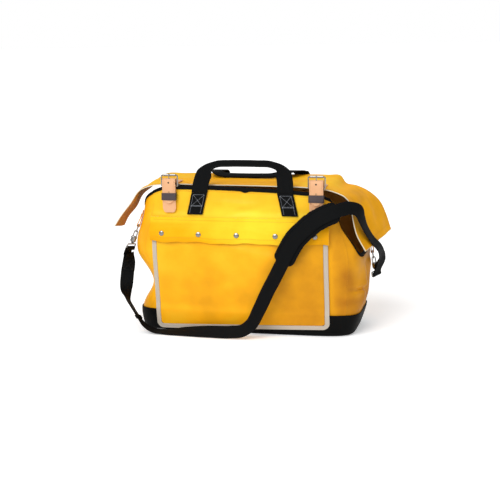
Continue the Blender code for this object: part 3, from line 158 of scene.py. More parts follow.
# a cloth sheet: the outer grid, the same grid set in by its thickness along the normals, and a rim. slot 0
# is the outer face, 1 the inner face, 2 the rim and the edge cells beside it; hole marks cells left out
def sheetMesh(name, outer, thickness, materials, wrap=False, edge=0, hole=None, sharpAngle=50):
    rows, columns = outer.shape[:2]
    inner = outer - gridNormals(outer, wrap) * np.asarray(thickness)[..., None]
    below = rows * columns
    cells = gridFaces(rows, columns, wrap)
    across = columns if wrap else columns - 1
    r, c = np.divmod(np.arange(len(cells)), across)
    corner = gridFaces(rows, across + 1)
    near = (r < edge) | (r >= rows - 1 - edge)
    if not wrap:
        near |= (c < edge) | (c >= columns - 1 - edge)
    if hole is not None:
        kept = ~hole.ravel()
        cells, corner, near = cells[kept], corner[kept], near[kept]
    metres = gridMetres(outer, wrap).reshape(-1, 2)
    pairs = np.concatenate([np.stack([cells[:, k], cells[:, (k + 1) % 4]], 1) for k in range(4)])
    codes, back = pairs[:, 0] * below + pairs[:, 1], pairs[:, 1] * below + pairs[:, 0]
    a, b = pairs[~np.isin(codes, back)].T
    rim = np.stack([b, a, a + below, b + below], axis=1)
    faces = np.concatenate([cells, cells[:, ::-1] + below, rim])
    uvs = np.concatenate([metres[corner], metres[corner[:, ::-1]], np.zeros((len(rim), 4, 2))])
    slots = np.concatenate([near * 2, np.maximum(near * 2, 1), np.full(len(rim), 2)]).astype(int)
    slots = np.minimum(slots, len(materials) - 1)
    verts = np.concatenate([outer.reshape(-1, 3), inner.reshape(-1, 3)])
    return fillMesh(name, verts, faces, uvs.reshape(-1, 2), slots, materials, sharpAngle)


# stores at every point a share from 0, the lit yellow, to 1, the shaded ochre, which the cloth's
# material mixes by: painted shade and painted highlight, set by where the point lies
def setPaintedShade(piece, shade):
    layer = piece.data.attributes.new("paintedShade", "FLOAT", "POINT")
    shares = np.clip(shade(*readPoints(piece.data).T), 0, 1)
    layer.data.foreach_set("value", shares.astype(np.float32))


# the grid's value between its points: a weighted mean of the four round a fractional row and column
def gridAt(grid, row, column):
    row, column = np.broadcast_arrays(np.asarray(row, float), np.asarray(column, float))
    r = np.clip(np.floor(row).astype(int), 0, grid.shape[0] - 2)
    c = np.clip(np.floor(column).astype(int), 0, grid.shape[1] - 2)
    u, v = (row - r)[..., None], (column - c)[..., None]
    low = grid[r, c] * (1 - v) + grid[r, c + 1] * v
    return low * (1 - u) + (grid[r + 1, c] * (1 - v) + grid[r + 1, c + 1] * v) * u


# turns every face of a closed piece outwards
def outward(piece):
    work = bmesh.new()
    work.from_mesh(piece.data)
    bmesh.ops.recalc_face_normals(work, faces=work.faces)
    work.to_mesh(piece.data)
    work.free()
    return piece


# rings of equal size joined along a path, with a fan cap at each open end
def tubeMesh(name, rings, material, closed=False, sharpAngle=60):
    rings = np.asarray(rings, float)
    count, around = rings.shape[:2]
    k, c = np.mgrid[:count if closed else count - 1, :around]
    n, kn = (c + 1) % around, (k + 1) % count
    quads = [k * around + c, k * around + n, kn * around + n, kn * around + c]
    faces = np.stack(quads, axis=-1).reshape(-1, 4).tolist()
    girth = lengths(np.vstack([rings[0], rings[0][:1]]))
    centre = rings.mean(axis=1)
    along = lengths(np.vstack([centre, centre[:1]]))
    u = np.stack([girth[c], girth[c + 1], girth[c + 1], girth[c]], -1)
    v = np.stack([along[k], along[k], along[k + 1], along[k + 1]], -1)
    uvs = np.stack([u, v], axis=-1).reshape(-1, 2).tolist()
    if not closed:
        last = count * around
        faces += [list(range(around))[::-1], list(range(last - around, last))]
        uvs += [[0, 0]] * (2 * around)
    return outward(fillMesh(name, rings.reshape(-1, 3), faces, uvs, None, [material], sharpAngle))


# a cubic through the knots whose slope at each one is the slope between its neighbours
def smoothValue(at, knots, values):
    at, knots, values = np.asarray(at, float), np.asarray(knots, float), np.asarray(values, float)
    slopes = np.gradient(values, knots)
    k = np.clip(np.searchsorted(knots, at, side="right") - 1, 0, len(knots) - 2)
    span = knots[k + 1] - knots[k]
    t = np.clip((at - knots[k]) / span, 0.0, 1.0)
    start, end = 2 * t ** 3 - 3 * t ** 2 + 1, 3 * t ** 2 - 2 * t ** 3
    rise, fall = t ** 3 - 2 * t ** 2 + t, t ** 3 - t ** 2
    return values[k] * start + values[k + 1] * end + span * (slopes[k] * rise + slopes[k + 1] * fall)


def smoothRows(at, knots, rows):
    return np.stack([smoothValue(at, knots, column) for column in rows.T], axis=1)


# evenly spaced points on that cubic through given points, by the length between them
def smoothLine(points, count):
    points = np.asarray(points, float)
    knots = lengths(points)
    at = np.linspace(0.0, knots[-1], count + 1)
    return smoothRows(at, knots, points), at, knots


def ease(t):
    t = np.clip(t, 0.0, 1.0)
    return t * t * (3 - 2 * t)


# 0 up to a start, 1 from its width on, eased between; and the same the other way round
def past(value, start, width):
    return ease((value - start) / width)


def before(value, end, width):
    return ease((end - value) / width)


# a bell: e to the power minus the squared distance over the squared width
def bump(t, centre, width):
    return np.exp(-((t - centre) / width) ** 2)


# a sum of bells: each row has a height, then a centre and a width for each of the coordinates given
def bells(rows, *coordinates):
    total = 0.0
    for height, *spots in rows:
        for at, centre, width in zip(coordinates, spots[::2], spots[1::2]):
            height = height * bump(at, centre, width)
        total = total + height
    return total


# the sum of sine waves in random directions with about one wavelength, over the square root of their count
def ripple(points, seed, wave, height, count=9):
    random = np.random.default_rng(seed)
    turn = unit(random.normal(size=(count, 3)))
    stretch = random.uniform(0.7, 1.4, count)
    phase = random.uniform(0, 2 * math.pi, count)
    total = np.sin((points @ turn.T) * (2 * math.pi / wave) * stretch + phase).sum(axis=-1)
    return height * total / math.sqrt(count)


boxCorners = ((1, 1, 0), (-1, 1, 90), (-1, -1, 180), (1, -1, 270))


# outline of flat webbing: a box with round edges, as (across, out) pairs; dent hollows both faces
def webProfile(width, thickness, dent=0.0):
    width, thickness = np.broadcast_arrays(np.atleast_1d(width), np.atleast_1d(thickness))
    width, thickness = width[:, None], thickness[:, None]
    radius = thickness * 0.42
    flat = np.linspace(-1, 1, 7)[1:-1]
    parts = []
    for sx, sy, start in boxCorners:
        a = np.radians((0, 30, 60, 90)) + math.radians(start)
        parts.append((sx * (width / 2 - radius) + radius * np.cos(a),
                      sy * (thickness / 2 - radius) + radius * np.sin(a)))
        if sx == sy:
            x = -sx * flat * (width / 2 - radius)
            parts.append((x, sy * thickness / 2 * (1 - dent * bump(flat, 0, 0.6)) + 0 * x))
    return np.concatenate([np.stack(part, axis=-1) for part in parts], axis=1)


# a profile at each point of a line: across goes along the side vectors and out along the normals
def carry(line, side, normal, profile):
    return line[:, None] + side[:, None] * profile[..., :1] + normal[:, None] * profile[..., 1:]


def sweep(line, side, profile):
    tangent = unit(np.gradient(line, axis=0))
    side = unit(side - (side * tangent).sum(1, keepdims=True) * tangent)
    normal = np.cross(tangent, side)
    return carry(line, side, normal, profile), side, normal


# pitch, length and thread of each kind of stitch; one stitch is four rings of four points, as (share of
# its half length, share of its thickness), and stands a little off the cloth
stitchKinds = {"cloth": (0.0042, 0.0031, 0.0008), "binding": (0.0038, 0.0029, 0.0008),
               "grip": (0.0042, 0.0030, 0.0009), "tab": (0.0040, 0.0032, 0.0010),
               "tail": (0.0040, 0.0030, 0.0010), "billet": (0.0045, 0.0034, 0.0008),
               "pad": (0.0046, 0.0034, 0.0011)}
stitchRings = ((-1.0, 0.35), (-0.55, 1.0), (0.55, 1.0), (1.0, 0.35))


def stitchRow(name, line, normal, thread, kind, bodyName="bag"):
    pitch, length, thick = stitchKinds[kind]
    along = lengths(line)
    count = max(int(along[-1] / pitch), 1)
    middle = (np.arange(count) + 0.5) * along[-1] / count

    def at(rows, where):
        return np.stack([np.interp(where, along, column) for column in rows.T], 1)

    out = unit(at(unit(normal), middle))
    forward = unit(at(line, middle + 1e-4) - at(line, middle - 1e-4))
    side = np.cross(out, forward)
    shares, sizes = np.array(stitchRings).T
    ring = np.array([(1, 0), (0, 1), (-1, 0), (0, -1)])
    wide = thick / 2 * sizes[:, None] * ring[:, 0]
    high = thick / 2 * (0.6 * sizes[:, None] * ring[:, 1] + 0.35)
    body = at(line, middle)[:, None, None]
    for direction, reach in ((forward, (length / 2 * shares)[:, None]), (side, wide), (out, high)):
        body = body + direction[:, None, None] * reach[None, ..., None]
    local = [[k * 4 + c, k * 4 + (c + 1) % 4, (k + 1) * 4 + (c + 1) % 4, (k + 1) * 4 + c]
             for k in range(3) for c in range(4)] + [[3, 2, 1, 0], [12, 13, 14, 15]]
    faces = (np.array(local)[None] + (np.arange(count) * 16)[:, None, None]).reshape(-1, 4)
    piece = outward(fillMesh(name, body.reshape(-1, 3), faces, None, None, [threads[thread]], 80))
    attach(piece, bodyName)
    return piece


# stitches along a line of fractional rows and columns of a sheet's outer grid
def seamRow(name, grid, row, column, bodyName="bag"):
    normal = gridAt(gridNormals(grid), row, column)
    return stitchRow(name, gridAt(grid, row, column) + normal * 0.0002, normal, "yellow", "cloth", bodyName)


# camera, light and floor

white = hexToLinear("#FFFFFF")
camera = {"place": (0.755, -3.088, 0.857), "target": (0.0, 0.0, 0.2), "lensMm": 81.0, "roll": -0.02,
          "shift": (-0.008, 0.0128)}
scene = bpy.context.scene
cameraData = bpy.data.cameras.new("camera")
cameraData.lens, cameraData.sensor_width = camera["lensMm"], 36.0
cameraData.shift_x, cameraData.shift_y = camera["shift"]
eye = bpy.data.objects.new("camera", cameraData)
scene.collection.objects.link(eye)
looking = (Vector(camera["target"]) - Vector(camera["place"])).to_track_quat("-Z", "Y").to_matrix().to_4x4()
eye.matrix_world = Matrix.Translation(camera["place"]) @ looking @ Matrix.Rotation(camera["roll"], 4, "Z")
scene.camera = eye
scene.render.resolution_x = scene.render.resolution_y = 500
scene.view_settings.view_transform = "Standard"

# soft lamps at a great distance, so the floor is lit evenly to its far edge: direction, strength and
# softness
studio = {"floorHalf": 40.0, "ambient": 0.46, "floorGlow": 0.30,
          "lamps": {"key": ((-0.45, -1.10, 1.12), 1.9, 46), "fill": ((0.5, -1.3, 0.3), 0.20, 70),
                    "rear": ((0.4, 1.2, 1.3), 0.34, 70)}}
for lampName, (place, strength, spread) in studio["lamps"].items():
    lampData = bpy.data.lights.new(lampName, "SUN")
    lampData.energy, lampData.angle = strength, math.radians(spread)
    lamp = bpy.data.objects.new(lampName, lampData)
    scene.collection.objects.link(lamp)
    lamp.matrix_world = (-Vector(place)).to_track_quat("-Z", "Y").to_matrix().to_4x4()


# 1 for what the camera sees straight or through glass, 0 for light on its way between pieces
def seenDirectly(tree):
    rays = addNode(tree, "LightPath").outputs
    links = {0: rays["Is Camera Ray"], 1: rays["Is Transmission Ray"]}
    return addNode(tree, "Math", {"operation": "MAXIMUM"}, links=links)


world = scene.world = bpy.data.worlds.new("studio")
world.use_nodes = True
tree = world.node_tree
tree.nodes.clear()
seen = addNode(tree, "Background", values={"Color": white, "Strength": 1.0})
soft = addNode(tree, "Background", values={"Color": white, "Strength": studio["ambient"]})
pick = addNode(tree, "MixShader", links={0: seenDirectly(tree), 1: soft, 2: seen})
addNode(tree, "OutputWorld", links={"Surface": pick})

# the paper is lifted to white for what the camera sees, and keeps the bag's shadow
half = studio["floorHalf"]
corners = [(x * half, y * half, 0) for x, y in ((-1, -1), (1, -1), (1, 1), (-1, 1))]
floor = fillMesh("floor", corners, [[0, 1, 2, 3]])
paper, tree, shader = startMaterial("paper", 0.95, Specular_IOR_Level=0.1, Base_Color=white,
                                    Emission_Color=white)
feed(shader, "Emission Strength",
     addNode(tree, "Math", {"operation": "MULTIPLY"}, {1: studio["floorGlow"]}, {0: seenDirectly(tree)}))
floor.data.materials.append(paper)
print("stage: camera, lights and floor")

# materials


# a texture over the object's own coordinates, with the size of one of its features in metres
def texture(tree, kind, size, **values):
    place = addNode(tree, "TexCoord").outputs["Object"]
    return addNode(tree, kind, values={"Scale": 1 / size, **values}, links={"Vector": place})


def mixShades(tree, shader, colour, other, share):
    shades = {6: hexToLinear(colour), 7: hexToLinear(other)}
    feed(shader, "Base Color", addNode(tree, "Mix", {"data_type": "RGBA"}, shades, {0: share}).outputs[2])


def relief(tree, strength, distance, height, **links):
    return addNode(tree, "Bump", values={"Strength": strength, "Distance": distance},
                   links={"Height": height, **links})


# sizes in metres; the coating's grain is about 0.5 mm, drawn at twice that so that it doesn't alias
cloth = {"mottle": 0.07, "swing": 0.09, "grain": 0.001, "fine": 0.25, "puckerSize": 0.016, "pucker": 0.18}


# coated cloth: through its shades, lit to shaded, by the mesh's painted shade and highlight and a broad
# random mottle, with a fine grain in the coating and a soft pucker
def coatedFabric(name, shades, roughness, gloss=0.3):
    material, tree, shader = startMaterial(name, roughness, Specular_IOR_Level=gloss)
    swing = {"From Min": 0.3, "From Max": 0.7, "To Min": -cloth["swing"], "To Max": cloth["swing"]}
    mottle = addNode(tree, "MapRange", None, swing,
                     {"Value": texture(tree, "TexNoise", cloth["mottle"], Detail=3.0)})
    # the mesh's share of painted shade and highlight
    paintedShade = addNode(tree, "Attribute", {"attribute_name": "paintedShade"}).outputs["Fac"]
    depth = addNode(tree, "Math", {"operation": "ADD", "use_clamp": True}, links={0: mottle, 1: paintedShade})
    mixed = addNode(tree, "ValToRGB", links={"Fac": depth})
    stops = mixed.color_ramp.elements
    for number, shade in enumerate(shades):
        share = number / (len(shades) - 1)
        stop = stops[-1 if share == 1 else 0] if share in (0, 1) else stops.new(share)
        stop.color = hexToLinear(shade)
    feed(shader, "Base Color", mixed)
    fine = relief(tree, cloth["fine"], 0.0004, texture(tree, "TexNoise", cloth["grain"], Detail=2.0))
    pucker = texture(tree, "TexNoise", cloth["puckerSize"], Detail=2.0)
    feed(shader, "Normal", relief(tree, cloth["pucker"], 0.002, pucker, Normal=fine))
    return material


# woven tape: ribs across the tape and a finer twill along it, from coordinates in metres. A wave's scale
# is turns per 2 pi / 10 of length, so 1 rib each pitch is 0.314 / pitch
def webbing(name, colour, rib, ridge, roughness, pitch, gloss):
    material, tree, shader = startMaterial(name, roughness, Specular_IOR_Level=gloss)
    metres = {"Vector": addNode(tree, "UVMap", {"uv_map": "metres"})}
    ribs = addNode(tree, "TexWave", {"bands_direction": "Y"},
                   {"Scale": 0.314 / pitch, "Distortion": 0.6, "Detail": 1.0}, metres)
    twill = addNode(tree, "TexWave", {"bands_direction": "X"},
                    {"Scale": 0.314 / (pitch * 0.8), "Distortion": 0.4}, metres)
    both = addNode(tree, "Math", {"operation": "MULTIPLY"},
                   links={0: ribs.outputs["Fac"], 1: twill.outputs["Fac"]})
    mixShades(tree, shader, colour, rib, both)
    feed(shader, "Normal", relief(tree, ridge, 0.0006, both))
    return material


# a stuff with an even grain: leather, rubber, board, foam
def grained(name, colour, deep, roughness, size, bumpiness, **sockets):
    material, tree, shader = startMaterial(name, roughness, **sockets)
    mixShades(tree, shader, colour, deep, texture(tree, "TexNoise", 0.02, Detail=4.0))
    cells = texture(tree, "TexVoronoi", size).outputs["Distance"]
    feed(shader, "Normal", relief(tree, bumpiness, 0.0005, cells))
    return material


# plated metal, with a faint cloudiness in the polish
def plated(name, colour, roughness):
    material, tree, shader = startMaterial(name, roughness, Metallic=1.0, Base_Color=hexToLinear(colour))
    cloud = texture(tree, "TexNoise", 0.004, Detail=3.0)
    polish = {"To Min": roughness * 0.75, "To Max": roughness * 1.35}
    feed(shader, "Roughness", addNode(tree, "MapRange", None, polish, {"Value": cloud}))
    return material


# from the lit lemon through the mid yellow to the shaded ochre: the ramp that painted shade and highlight
# move along
yellowShades = ("#FFE334", "#FFB410", "#B97408")
yellow = coatedFabric("yellow coated canvas", yellowShades, 0.42, 0.2)
coverYellow = coatedFabric("yellow cover canvas", yellowShades, 0.55, 0.06)
lining = coatedFabric("ochre canvas back", ("#E0A544", "#C07F30", "#9C6226"), 0.75, 0.16)
shellLining = coatedFabric("pale ochre canvas back", ("#FFDB8C", "#F2BE60", "#C68A34"), 0.8, 0.16)
rawEdge = coatedFabric("raw canvas edge", ("#F3EAD6", "#DDD0B0"), 0.9)
tabYellow = coatedFabric("yellow ring tab", ("#F0A01C", "#D98A12"), 0.5)
blackWeb = webbing("black nylon webbing", "#050607", "#0D0F11", 0.5, 0.72, 0.0022, 0.12)
bandWeb = webbing("black edge tape", "#040405", "#0A0B0C", 0.4, 0.7, 0.0016, 0.12)
paleTape = webbing("grey binding tape", "#CBC1B3", "#B9AEA0", 0.45, 0.8, 0.0016, 0.3)
rubber = grained("black boot rubber", "#020303", "#050606", 0.55, 0.0012, 0.22, Specular_IOR_Level=0.11)
leather = grained("tan leather", "#F0B98A", "#E7AB7B", 0.62, 0.0009, 0.2)
keeperLeather = grained("dark leather", "#4A3C3E", "#3E3234", 0.55, 0.0009, 0.2)
hardboard = grained("brown hardboard", "#5A4632", "#4A3828", 0.85, 0.0016, 0.2)
foamCloth = grained("black pad cloth", "#060708", "#0C0E10", 0.8, 0.0013, 0.45, Specular_IOR_Level=0.12)
# dark disc colour for the punched holes: painted shade standing for each hole's hollow
holeShade = grained("painted hole shade", "#3A2A1E", "#2C1F16", 0.9, 0.0012, 0.1)
nickel = plated("nickel plate", "#A3A09C", 0.16)
steel = plated("zinc plated steel", "#8A8C8E", 0.42)
threads = {name: grained(f"{name} thread", colour, deep, 0.8, 0.0008, 0.2)
           for name, colour, deep in (("grey", "#8F939A", "#7C8087"), ("black", "#1A1D20", "#121416"),
                                      ("yellow", "#E2A41A", "#CF9312"), ("pale", "#E4DCCB", "#D3C9B6"),
                                      ("tan", "#D9A679", "#C8966B"))}
cadLooks = {"buckle_frame": nickel, "roller": nickel, "tongue": nickel, "d_ring_left": nickel,
            "d_ring_right": nickel, "snap": nickel, "front_stay": steel, "back_stay": steel,
            "base_board": hardboard}
for nodeName, node in frame["nodes"].items():
    for start, look in cadLooks.items():
        if nodeName.startswith(start):
            for slot in node.material_slots:
                slot.material = look
print("materials")

# the form shared by every piece

# the shell's sections, repeated from the frame; each side has a share of its half width at each of the
# levels
body = {"halfLength": 0.305, "halfDepth": 0.115, "mouth": 0.410, "backRise": 0.0115, "mouthBow": 0.015,
        "leftDip": 0.060, "rightDip": 0.155, "dipPower": 2, "rightFrontPower": 13, "mouthTilt": 0.008,
        "mouthFull": 0.0065, "wrapHalf": 0.335, "square": 6, "boot": 0.063, "bootWall": 0.003,
        "bootEase": 0.022, "levels": (0.33, 0.55, 0.80, 1.0),
        "tuck": (0.011, 0.318, 0.032, 0.300, 0.030, -0.115, 0.045),
        "left": (1.030, 1.045, 0.931, 1.070, 0.997, 0.944),
        "right": (0.975, 1.040, 1.055, 1.070, 0.955, 0.850),
        "front": (0.940, 1.017, 1.090, 1.180, 1.130, 1.040),
        "back": (0.940, 1.017, 1.130, 1.330, 1.200, 1.040)}
lay, fit, wall = 0.0008, 0.0005, 0.0025
seam = 0.5 ** (1 / body["square"])
levels = [0.0, body["boot"]] + [(body["mouth"] + body["backRise"]) * share for share in body["levels"]]


def halfLength(z, right):
    return smoothValue(z, levels, body["halfLength"] * np.array(body["right" if right else "left"]))


def halfDepth(z, back):
    return smoothValue(z, levels, body["halfDepth"] * np.array(body["back" if back else "front"]))


# a superellipse quarter: (1 - |s| to the 6th) to the 1/6
def bulge(share):
    return np.clip(1 - np.abs(share) ** body["square"], 0, 1) ** (1 / body["square"])


# the mouth's edge: bowed down to the seams by the 4th power; the front one fuller, most beside its ends,
# and tilted
def mouthTop(share, back):
    bow = (np.abs(share) / seam) ** 4
    if back:
        return body["mouth"] + body["backRise"] - (body["mouthBow"] + body["backRise"]) * bow
    full = body["mouthFull"] * (1 + 0.5 * bump(np.abs(share), 0.78, 0.12) - (np.abs(share) / seam) ** 12)
    return body["mouth"] + full - body["mouthTilt"] * share / seam - body["mouthBow"] * bow


def endTop(share, right):
    dip = body["rightDip"] if right else body["leftDip"]
    power = np.where(share < 0, body["rightFrontPower"], body["dipPower"]) if right else body["dipPower"]
    corner = body["mouthTilt"] * (1 - share / seam) / 2 * (-1 if right else 1)
    return body["mouth"] - body["mouthBow"] + corner - dip * (1 - np.abs(share / seam) ** power)


# a point of the shell on one side, by its share of that side's half width; grow moves it outwards. The
# right front corner gives inwards below the mouth, where the opening pulls on it
def sidePoint(side, share, z, grow):
    share, z = np.broadcast_arrays(np.asarray(share, float), np.asarray(z, float))
    if side in ("front", "back"):
        half = np.where(share > 0, halfLength(z, True), halfLength(z, False)) + grow
        depth = (halfDepth(z, side == "back") + grow) * bulge(share)
        x, y = share * half, depth if side == "back" else -depth
    else:
        depth = np.where(share > 0, halfDepth(z, True), halfDepth(z, False)) + grow
        half = (halfLength(z, side == "right") + grow) * bulge(share)
        x, y = half if side == "right" else -half, share * depth
    return np.stack([x - bells([body["tuck"]], z, x, y), y, z], axis=-1)


# shares from one corner seam to the next, closer together towards both
def crowded(count):
    t = np.linspace(-1, 1, count + 1)
    return seam * np.sign(t) * (1 - (1 - np.abs(t)) ** 1.5)


ringSides = (("front", crowded(130)), ("right", crowded(64)), ("back", -crowded(130)),
             ("left", -crowded(64)))


# one loop round the bag; height is a function of the side and share there
def shellRing(height, grow=0.0):
    return np.concatenate([sidePoint(side, shares[:-1], height(side, shares[:-1]), grow)
                           for side, shares in ringSides])


def edgeHeight(side, share):
    return mouthTop(share, side == "back") if side in ("front", "back") else endTop(share, side == "right")


# height, centre and width of each fold, in metres; the right end's upright creases are where the cloth
# buckles under its own weight, with a level one below, and the left end's are a diagonal buckle falling to
# the boot
shell = {"rows": 84, "low": 0.0045, "drop": 0.0004, "wall": 0.0024, "hem": 0.014, "calm": 0.05,
         "ridge": 0.0007, "ridgeWidth": 0.0028,
         "upright": ((0.008, -0.058, 0.018), (-0.008, -0.018, 0.018), (0.007, 0.026, 0.020)),
         "uprightShare": 1.25,
         "level": ((-0.008, 0.132, 0.006, -0.065, 0.040), (0.004, 0.148, 0.010, -0.055, 0.040)),
         "diagonal": ((0.005, 0.0, 0.020), (-0.004, 0.045, 0.020)), "tapeStitch": 0.0135,
         "seamStitch": 0.0055, "seamRow": 40, "seamFrom": 14, "seamTo": 0.93}


# folds along the shell's normal: bells and slow sine waves, none near the boot or a sewn-on piece
def shellFold(p):
    x, y, z = p[..., 0], p[..., 1], p[..., 2]
    facing = past(-y, 0.08, 0.03)
    front = facing * past(z, 0.325, 0.02)
    right = shell["uprightShare"] * bells(shell["upright"], y) * before(z, 0.25, 0.06)
    right = right + bells(shell["level"], z, y) + ripple(p, 6, 0.09, 0.0018)
    right = right * (1 - bump(y, 0.085, 0.030) * bump(z, 0.235, 0.05))
    left = bells(shell["diagonal"], y + 0.02 + 0.5 * (z - 0.20)) * before(z, 0.30, 0.08)
    left = left * (1 - bump(y, -0.085, 0.035) * past(z, 0.25, 0.03))
    slack = -0.0030 * bump(z, 0.352, 0.010) * (0.6 + 0.4 * np.sin(x / 0.05))
    slack = slack + 0.005 * bump(z + 0.10 * x, 0.372, 0.012) * bump(x, -0.01, 0.075)
    slack = slack - 0.003 * bump(z - 0.25 * x, 0.352, 0.008) * bump(x, 0.02, 0.060)
    allOver = ripple(p, 3, 0.13, 0.0010) + ripple(p, 5, 0.05, 0.0005)
    allOver = allOver * (1 - 0.85 * facing) - 0.0004 * facing
    back = past(y, 0.08, 0.03) * (ripple(p, 8, 0.16, 0.0022) - 0.001)
    return past(z, 0.06, 0.05) * (allOver + past(x, 0.26, 0.04) * right + past(-x, 0.25, 0.04) * left
                                  + slack * front + back)


# y of something lying on the pocket's wrap of the front, its stand measured from the cloth
def frontLay(x, z, stand):
    overBoot = (body["bootWall"] + fit) * (1 - past(z, body["boot"], body["bootEase"]))
    return -(halfDepth(z, False) * bulge(x / body["wrapHalf"]) + overBoot + stand)


# y of something lying on the front or the back itself
def faceLay(x, z, stand, back):
    half = np.where(np.asarray(x) > 0, halfLength(z, True), halfLength(z, False))
    return (1 if back else -1) * (halfDepth(z, back) * bulge(x / half) + stand)


# shell, boot and mouth tape

# the shell from its lowest level up to a drop below its edge, with its folds and a ridge at each corner
# seam
sideStarts = np.cumsum([0] + [len(shares) - 1 for _, shares in ringSides])[:-1]
edgeRow = np.concatenate([edgeHeight(side, shares[:-1]) for side, shares in ringSides])
low = shell["low"]
grid = np.array([shellRing(lambda side, share: low + (edgeHeight(side, share) - shell["drop"] - low) * v)
                 for v in np.linspace(0, 1, shell["rows"])])
arc = np.linalg.norm(grid[:, :, None] - grid[:, None, sideStarts], axis=-1).min(axis=-1)
ridge = shell["ridge"] * bump(arc, 0, shell["ridgeWidth"]) * past(grid[..., 2], 0.055, 0.01)
calm = past(edgeRow - grid[..., 2], shell["hem"], shell["calm"])
grid = grid + gridNormals(grid, wrap=True) * (shellFold(grid) * calm + ridge * calm)[..., None]
bagShell = sheetMesh("bagShell", grid, shell["wall"], [yellow, shellLining, rawEdge], wrap=True)
# painted shade and highlight: the two ends, the back and the lower shell deeper as shade, a patch at the
# right front corner and a level crease low on the right end deeper as crease shade, a fold beside them
# lighter, and a band above the flap lighter as a painted highlight
setPaintedShade(bagShell, lambda x, y, z: 0.35 + 0.43 * past(x, 0.21, 0.07) + 0.12 * before(z, 0.22, 0.15)
        + 0.22 * past(-x, 0.25, 0.04) + 0.18 * past(y, 0.06, 0.06)
        + bells(((0.22, 0.292, 0.020, 0.180, 0.034), (0.14, 0.30, 0.03, 0.10, 0.012),
                 (-0.14, 0.315, 0.012, 0.14, 0.08)), x, z)
        - 0.30 * bump(z, 0.345, 0.024) * bump(x, 0.03, 0.14) * past(-y, 0.08, 0.03))
dress(bagShell, "bag", "front_panel", "back_panel", "left_end_panel", "right_end_panel")

# a row of stitches under the mouth's tape and one beside each corner seam
closedGrid = np.concatenate([grid, grid[:, :1]], axis=1)
columns = np.arange(closedGrid.shape[1])
under = (shell["rows"] - 1) * (1 - shell["tapeStitch"] / (np.append(edgeRow, edgeRow[0]) - low))
seamRow("mouthStitch", closedGrid, under, columns)
for number, corner in enumerate(sideStarts):
    away = np.linalg.norm(closedGrid[shell["seamRow"]] - closedGrid[shell["seamRow"], corner], axis=-1)
    beside = int(np.argmin(np.abs(away + 1.0 * (columns < corner) - shell["seamStitch"])))
    rows = np.linspace(shell["seamFrom"], shell["seamTo"] * under[beside], 90)
    seamRow(f"cornerStitch{number}", closedGrid, rows, beside)

# section of the boot as (outwards, height): up the outside with a round foot, over a soft rim, down the
# inside
boot = {"foot": 0.009, "rim": 0.0015, "height": 0.063, "out": body["bootWall"] + fit, "inside": 0.0006,
        "belly": 0.0004, "seat": (0.03, 0.0041)}
section = [(boot["out"] - boot["foot"] * (1 - math.sin(a)), boot["foot"] * (1 - math.cos(a)))
           for a in np.radians(np.linspace(0, 90, 7))]
upright = boot["height"] - 0.006
section += [(boot["out"] + boot["belly"] * math.sin(math.pi * t), boot["foot"] + upright * t)
            for t in (0.2, 0.4, 0.6, 0.8)]
rimMiddle, rimHalf = (boot["out"] + boot["inside"]) / 2, (boot["out"] - boot["inside"]) / 2
section += [(rimMiddle + rimHalf * math.cos(a), boot["height"] - boot["rim"] + boot["rim"] * math.sin(a))
            for a in np.radians(np.linspace(0, 180, 7))]
section += [(boot["inside"], z) for z in boot["seat"]]
rings = [shellRing(lambda side, share: 0 * share + z, grow) for grow, z in section]
dress(tubeMesh("bootShell", rings, rubber, sharpAngle=50), "bag", "boot")

# the tape wraps the edge: outside 9 mm, over the top, 4 mm inside; its section turns with the loop, and a
# small fold of it hangs out in the middle of the front
tape = {"outside": 0.009, "inside": 0.004, "thick": 0.0016, "foldDrop": (0.0042, 0.008, 0.009)}
out = lay + tape["thick"]
section = [(lay - 0.0004, -tape["outside"]), (out - 0.0003, -tape["outside"] + 0.0002),
           (out, -tape["outside"] * 0.7), (out, -tape["outside"] * 0.35), (out, -0.0012),
           (out - 0.0008, 0.0002), (0.0005, 0.0009), (-wall, 0.0009), (-wall - 0.0004, 0.0),
           (-wall - 0.0006, -tape["inside"]), (-wall + 0.0002, -tape["inside"]),
           (-wall + 0.0003, -0.0004), (0.0, -0.0002), (lay - 0.0004, -0.001)]
loops = np.array([shellRing(lambda side, share: edgeHeight(side, share) + drop, grow)
                  for grow, drop in section])
front = (loops[..., 1] < -0.08) & (np.arange(len(section)) < 4)[:, None]
loops[..., 2] -= bells([tape["foldDrop"]], loops[..., 0]) * front
mouthTape = tubeMesh("mouthTape", np.transpose(loops, (1, 0, 2)), bandWeb, closed=True)
dress(mouthTape, "bag", "front_band", "back_band", "left_end_band", "right_end_band")
print("shell, boot and mouth tape")

# pocket, binding and flap

pocket = {"left": -0.262, "right": 0.240, "bottom": 0.007, "slant": 0.015, "top": 0.300, "wall": 0.002,
          "pouch": 0.016, "binding": 0.013, "bindingThick": 0.0028, "corner": 0.020, "rows": 70,
          "columns": 120, "stitchApart": 0.0046}


# stand-off of the pocket's face: the sine across to the 0.6, times a sine up the height, times 16 mm
def pouch(x, z):
    left, right = pocket["left"] + pocket["binding"], pocket["right"] - pocket["binding"]
    low = pocket["bottom"] + pocket["binding"]
    u = np.clip((x - left) / (right - left), 0, 1)
    w = np.clip((z - low) / (pocket["top"] - low), 0, 1)
    swell = np.sin(math.pi * u) ** 0.6 * np.sin(math.pi * 0.86 * w ** 0.8)
    return lay + pocket["wall"] + pocket["pouch"] * np.clip(swell, 0, 1)


